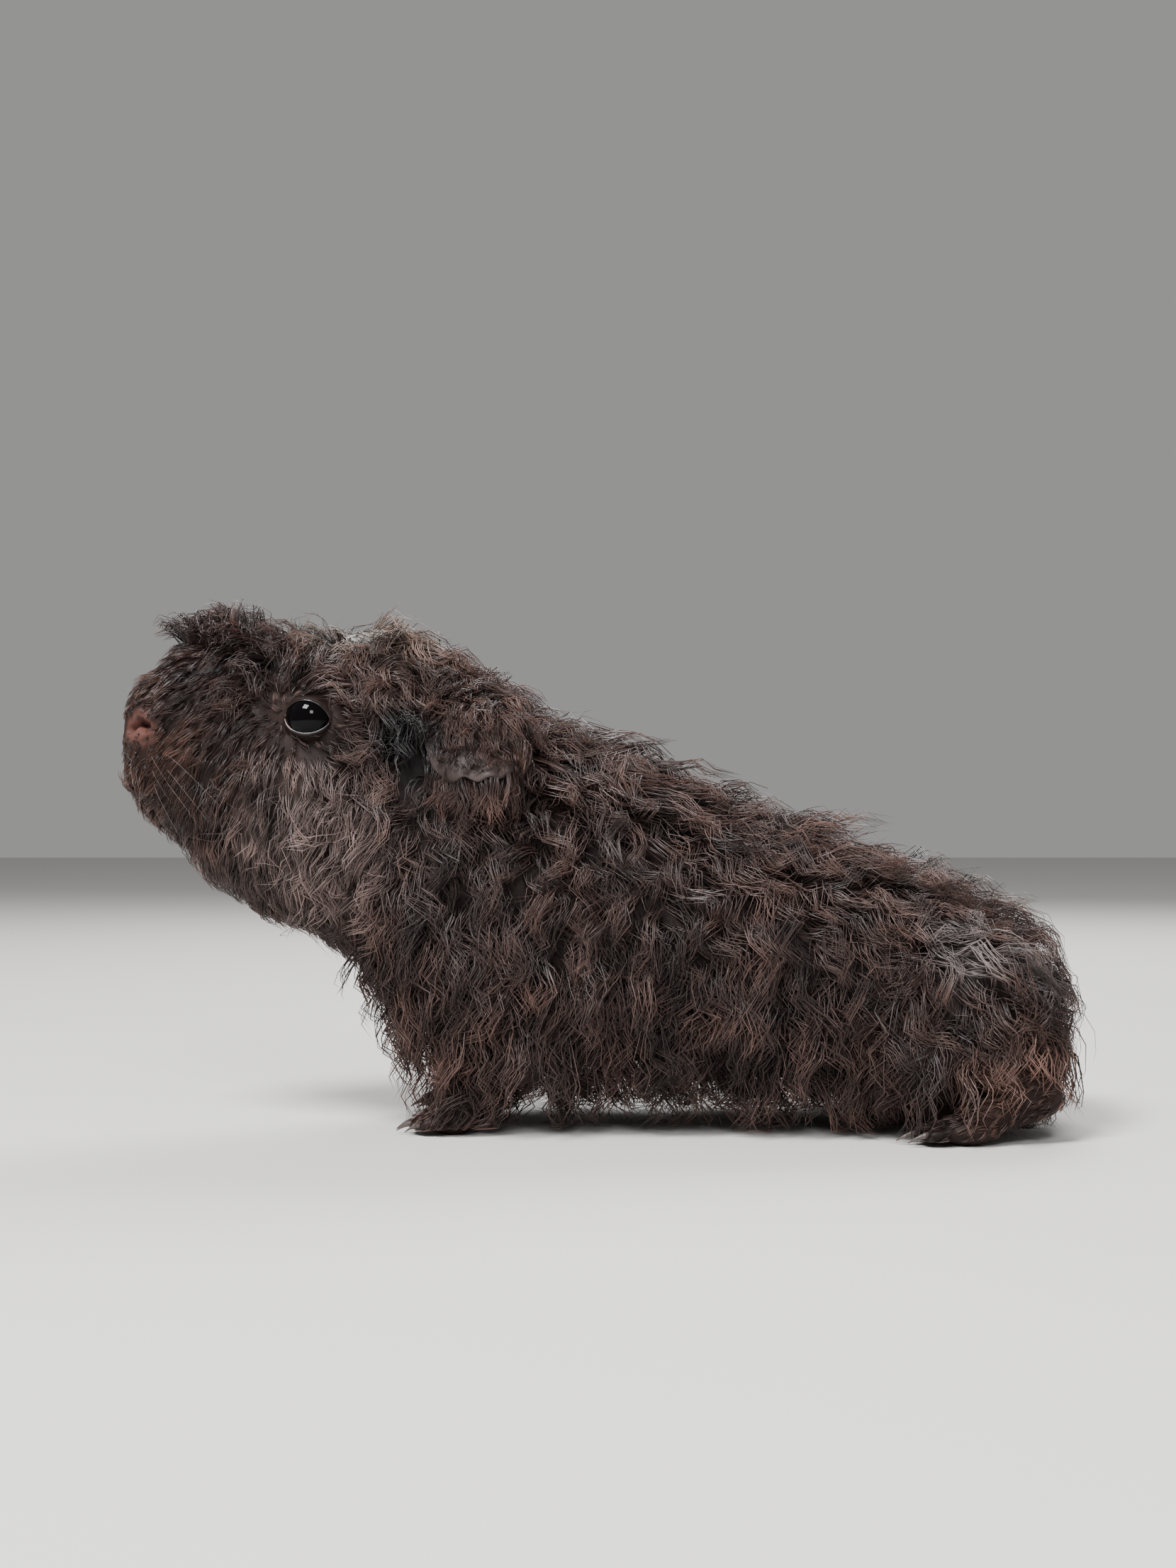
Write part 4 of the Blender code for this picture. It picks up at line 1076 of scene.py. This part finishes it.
down = EAR_TIP - EAR_ROOT
ear_down = down.normalized()
ear_out = Vector((0.05, 0.95, 0.35))
ear_out = (ear_out - ear_down * ear_out.dot(ear_down)).normalized()
ear_across = ear_down.cross(ear_out)
for side, word in ((1, "right"), (-1, "left")):
    bpy.ops.mesh.primitive_grid_add(x_subdivisions=26, y_subdivisions=30, size=2)
    ear = bpy.context.object
    ear.name = "ear_petal_" + word
    for vert in ear.data.vertices:
        v, u = vert.co.x, (vert.co.y + 1) / 2
        widths = EAR_REAR_WIDTHS if v > 0 else EAR_FRONT_WIDTHS
        half_width = float(np.interp(u, (0, 0.25, 0.5, 0.75, 1), widths)) * MM
        notch = EAR_NOTCH * math.exp(-(((v + 0.6) / 0.18) ** 2)) * u**6
        rounding = EAR_ROUNDING * abs(v) ** 3 * u**3
        bend = EAR_CUP * (0.4 + 0.6 * u) * (0.9 - v * v) + EAR_BOW * math.sin(math.pi * u)
        ripple = EAR_RIPPLE * math.sin(9 * v + 2) * u * u
        point = EAR_ROOT + ear_down * (u * (down.length - rounding - notch))
        point = point + ear_across * (v * half_width) + ear_out * (bend + ripple)
        vert.co = Vector((point.x, point.y * side, point.z)) + SHIFT
    modify(ear, "SOLIDIFY", thickness=EAR_THICKNESS, offset=0)
    modify(ear, "SUBSURF", levels=1, render_levels=1)
    face_outwards()
    ear.data.materials.append(ear_finish)
    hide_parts("ear_" + word)
    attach(ear, "root")

    ear_tree = BVHTree.FromObject(ear, bpy.context.evaluated_depsgraph_get())
    EAR_LOCKS = dict(
        CHEEK_LOCKS, length=(6.0, 10.0), width=(1.8, 3.0), lift=(0.8, 2.8), wave=(0.3, 0.9),
        follow=(0.7, 1.0), strands=12, rings=5, frizz=0.35, swing=(-0.5, 0.5), hook=(-1.5, 1.5),
    )
    outward = np.array((ear_out.x, ear_out.y * side, ear_out.z))
    hang = np.array((ear_down.x, ear_down.y * side, ear_down.z))
    front_edge = EAR_ROOT.x / MM - 6.4

    def ear_back(c, n):
        off_rim = (c[:, 2] > 54.9 * MM) & (c[:, 0] / MM > front_edge + 0.26 * (70 - c[:, 2] / MM))
        return (n @ outward > -0.2) & off_rim

    points, outs = spread_on(ear, 1.5 * MM, ear_back)
    room = np.clip((points[:, 2] - 54.0 * MM) / (9 * MM), 0.12, 1.1)
    lies = hang - outs * (outs @ hang)[:, None]
    grow_locks("coat_ear_" + word, points, outs, EAR_LOCKS, lies=unit(lies), tree=ear_tree, scale=room)

    # Hair from the crown falls over the root of the ear and hides where it joins the head.
    def crown_edge(c, n):
        over = (c[:, 0] > -29 * MM) & (c[:, 0] < -11 * MM) & (c[:, 2] > 62 * MM)
        return over & (c[:, 1] * side > 2.5 * MM) & (c[:, 1] * side < 10 * MM)

    OVER_EAR = dict(
        EAR_LOCKS, length=(7.0, 10.5), lift=(2.0, 4.2), follow=(0.5, 0.8), width=(2.2, 3.6), wave=(0.4, 1.2)
    )
    points, outs = spread_on(skin, 2.0 * MM, crown_edge)
    over = np.array((0.15, 0.75 * side, -0.75))
    lies = over - outs * (outs @ over)[:, None]
    grow_locks("coat_over_ear_" + word, points, outs, OVER_EAR, lies=unit(lies), tree=ear_tree)

    FRINGE_LOCKS = dict(
        EAR_LOCKS, length=(7.0, 10.5), lift=(0.0, 0.8), curl=(-1.0, 1.0), follow=(0.0, 0.15),
        wave=(0.3, 0.9), strands=12,
    )
    points, outs = spread_on(ear, 1.5 * MM, lambda c, n: (n @ outward < -0.25) & (c[:, 2] < 58.5 * MM))
    lies = np.tile(np.array((0.10, 0.02 * side, -1.0)), (len(points), 1))
    grow_locks("coat_ear_fringe_" + word, points, outs, FRINGE_LOCKS, lies=unit(lies), tree=ear_tree)

# The claws are small, curved and dark. Each is a cone, bent down over the tip of its toe.
CLAW_ROOT, CLAW_TIP = 0.62 * MM, 0.08 * MM
claw_finish, shader = finish("claw_horn", 0.35)
growth = clouds(place_on(shader.id_data), 900, 2)
link(blend(growth, (0.030, 0.022, 0.020, 1.0), (0.100, 0.075, 0.065, 1.0)), shader.inputs["Base Color"])
for paw, reach, (ball_x, ball_y, toes) in (("fore", 2.4, FEET[0]), ("hind", 3.0, FEET[1])):
    for side, word in ((1, "right"), (-1, "left")):
        claws = []
        for x, y in toes:
            bpy.ops.mesh.primitive_cone_add(
                vertices=12, radius1=CLAW_ROOT, radius2=CLAW_TIP, depth=reach * MM
            )
            claw = bpy.context.object
            bpy.ops.object.mode_set(mode="EDIT")
            bpy.ops.mesh.subdivide(number_cuts=4)
            bpy.ops.object.mode_set(mode="OBJECT")
            for vert in claw.data.vertices:
                t = min(max(vert.co.z / (reach * MM) + 0.5, 0.0), 1.0)
                drop = 1.5 - 1.15 * t**1.6
                claw_x = x * MM - 0.9 * MM - t * reach * MM
                claw_y = side * y * MM + vert.co.y * 0.8
                vert.co = Vector((claw_x, claw_y, drop * MM + vert.co.x * 0.9))
                vert.co += SHIFT
            claws.append(claw)
        claw = one_object(claws[::-1])
        claw.name = f"claws_{paw}_{word}"
        face_outwards(join_gaps=True)
        claw.data.materials.append(claw_finish)
        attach(claw, "root")

# The whiskers are fine, pale and curved, in rows on the pads beside the nose. Each is a thin curve that
# tapers to its tip.
WHISKER_SEED = 3
WHISKER_RADIUS = 0.035 * MM
whisker_finish, shader = finish("whisker", 0.35)
shader.inputs["Base Color"].default_value = (0.14, 0.11, 0.10, 1.0)
whisker_rng = np.random.default_rng(WHISKER_SEED)
for side, word in ((1, "right"), (-1, "left")):
    wires = bpy.data.curves.new("whiskers_" + word, "CURVE")
    wires.dimensions = "3D"
    wires.bevel_depth = WHISKER_RADIUS
    wires.bevel_resolution = 1
    wires.use_fill_caps = True
    for row in range(3):
        for column in range(3):
            root = Vector((-70.8 + 2.2 * column, side * (4.8 + 1.2 * column), 58.0 - 2.1 * row)) * MM + SHIFT
            root = skin_tree.find_nearest(root)[0]
            reach = whisker_rng.uniform(6, 12) * MM
            out, up = side * whisker_rng.uniform(0.7, 1.1), whisker_rng.uniform(-0.6, 0.1)
            heading = Vector((-0.15 + 0.3 * column, out, up))
            heading.normalize()
            spline = wires.splines.new("POLY")
            spline.points.add(9)
            for k in range(10):
                t = k / 9
                at = root + heading * (reach * t - 0.5 * MM) + Vector((0.45, 0, -0.6)) * (reach * t * t)
                spline.points[k].co = (*at, 1.0)
                spline.points[k].radius = 1 - 0.85 * t
    whiskers = bpy.data.objects.new("whiskers_" + word, wires)
    bpy.context.scene.collection.objects.link(whiskers)
    whiskers.data.materials.append(whisker_finish)
    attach(whiskers, "root")

# The stage is a plain, pale floor, just clear of the feet. A soft key light stands above and before the
# animal's left side, with a weak fill over the camera and a rim light behind. The camera looks almost
# level at the left side.
FLOOR_DROP = 0.3 * MM
CAMERA_PLACE = (-1.36, -350.0, 46.5)
CAMERA_TILT = 91.12
bpy.ops.mesh.primitive_plane_add(size=6, location=(0, 0, -FLOOR_DROP))
floor = bpy.context.object
floor.name = "floor"
floor_finish, shader = finish("pale_floor", 0.8)
shader.inputs["Base Color"].default_value = (0.62, 0.61, 0.59, 1.0)
floor.data.materials.append(floor_finish)
floor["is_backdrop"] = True

world = bpy.data.worlds.new("studio")
bpy.context.scene.world = world
world.use_nodes = True
world.node_tree.nodes["Background"].inputs["Color"].default_value = (0.84, 0.83, 0.82, 1.0)
world.node_tree.nodes["Background"].inputs["Strength"].default_value = 0.38
for name, place, size, power in (
    ("key", (-0.30, -0.42, 0.70), 0.26, 15.0),
    ("fill", (0.02, -0.62, 0.42), 0.16, 2.6),
    ("rim", (0.15, 0.55, 0.60), 0.4, 7.0),
):
    lamp = bpy.data.lights.new(name, "AREA")
    lamp.size = size
    lamp.energy = power
    light = bpy.data.objects.new(name, lamp)
    light.location = place
    light.rotation_euler = (Vector((0, 0, 0.04)) - Vector(place)).to_track_quat("-Z", "Y").to_euler()
    bpy.context.scene.collection.objects.link(light)

lens = bpy.data.cameras.new("camera")
lens.lens = 50.4
lens.sensor_width = 36
lens.clip_start = 0.01
camera = bpy.data.objects.new("camera", lens)
camera.location = Vector(CAMERA_PLACE) * MM + SHIFT
camera.rotation_euler = (math.radians(CAMERA_TILT), 0, 0)
bpy.context.scene.collection.objects.link(camera)
bpy.context.scene.camera = camera

low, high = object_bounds()
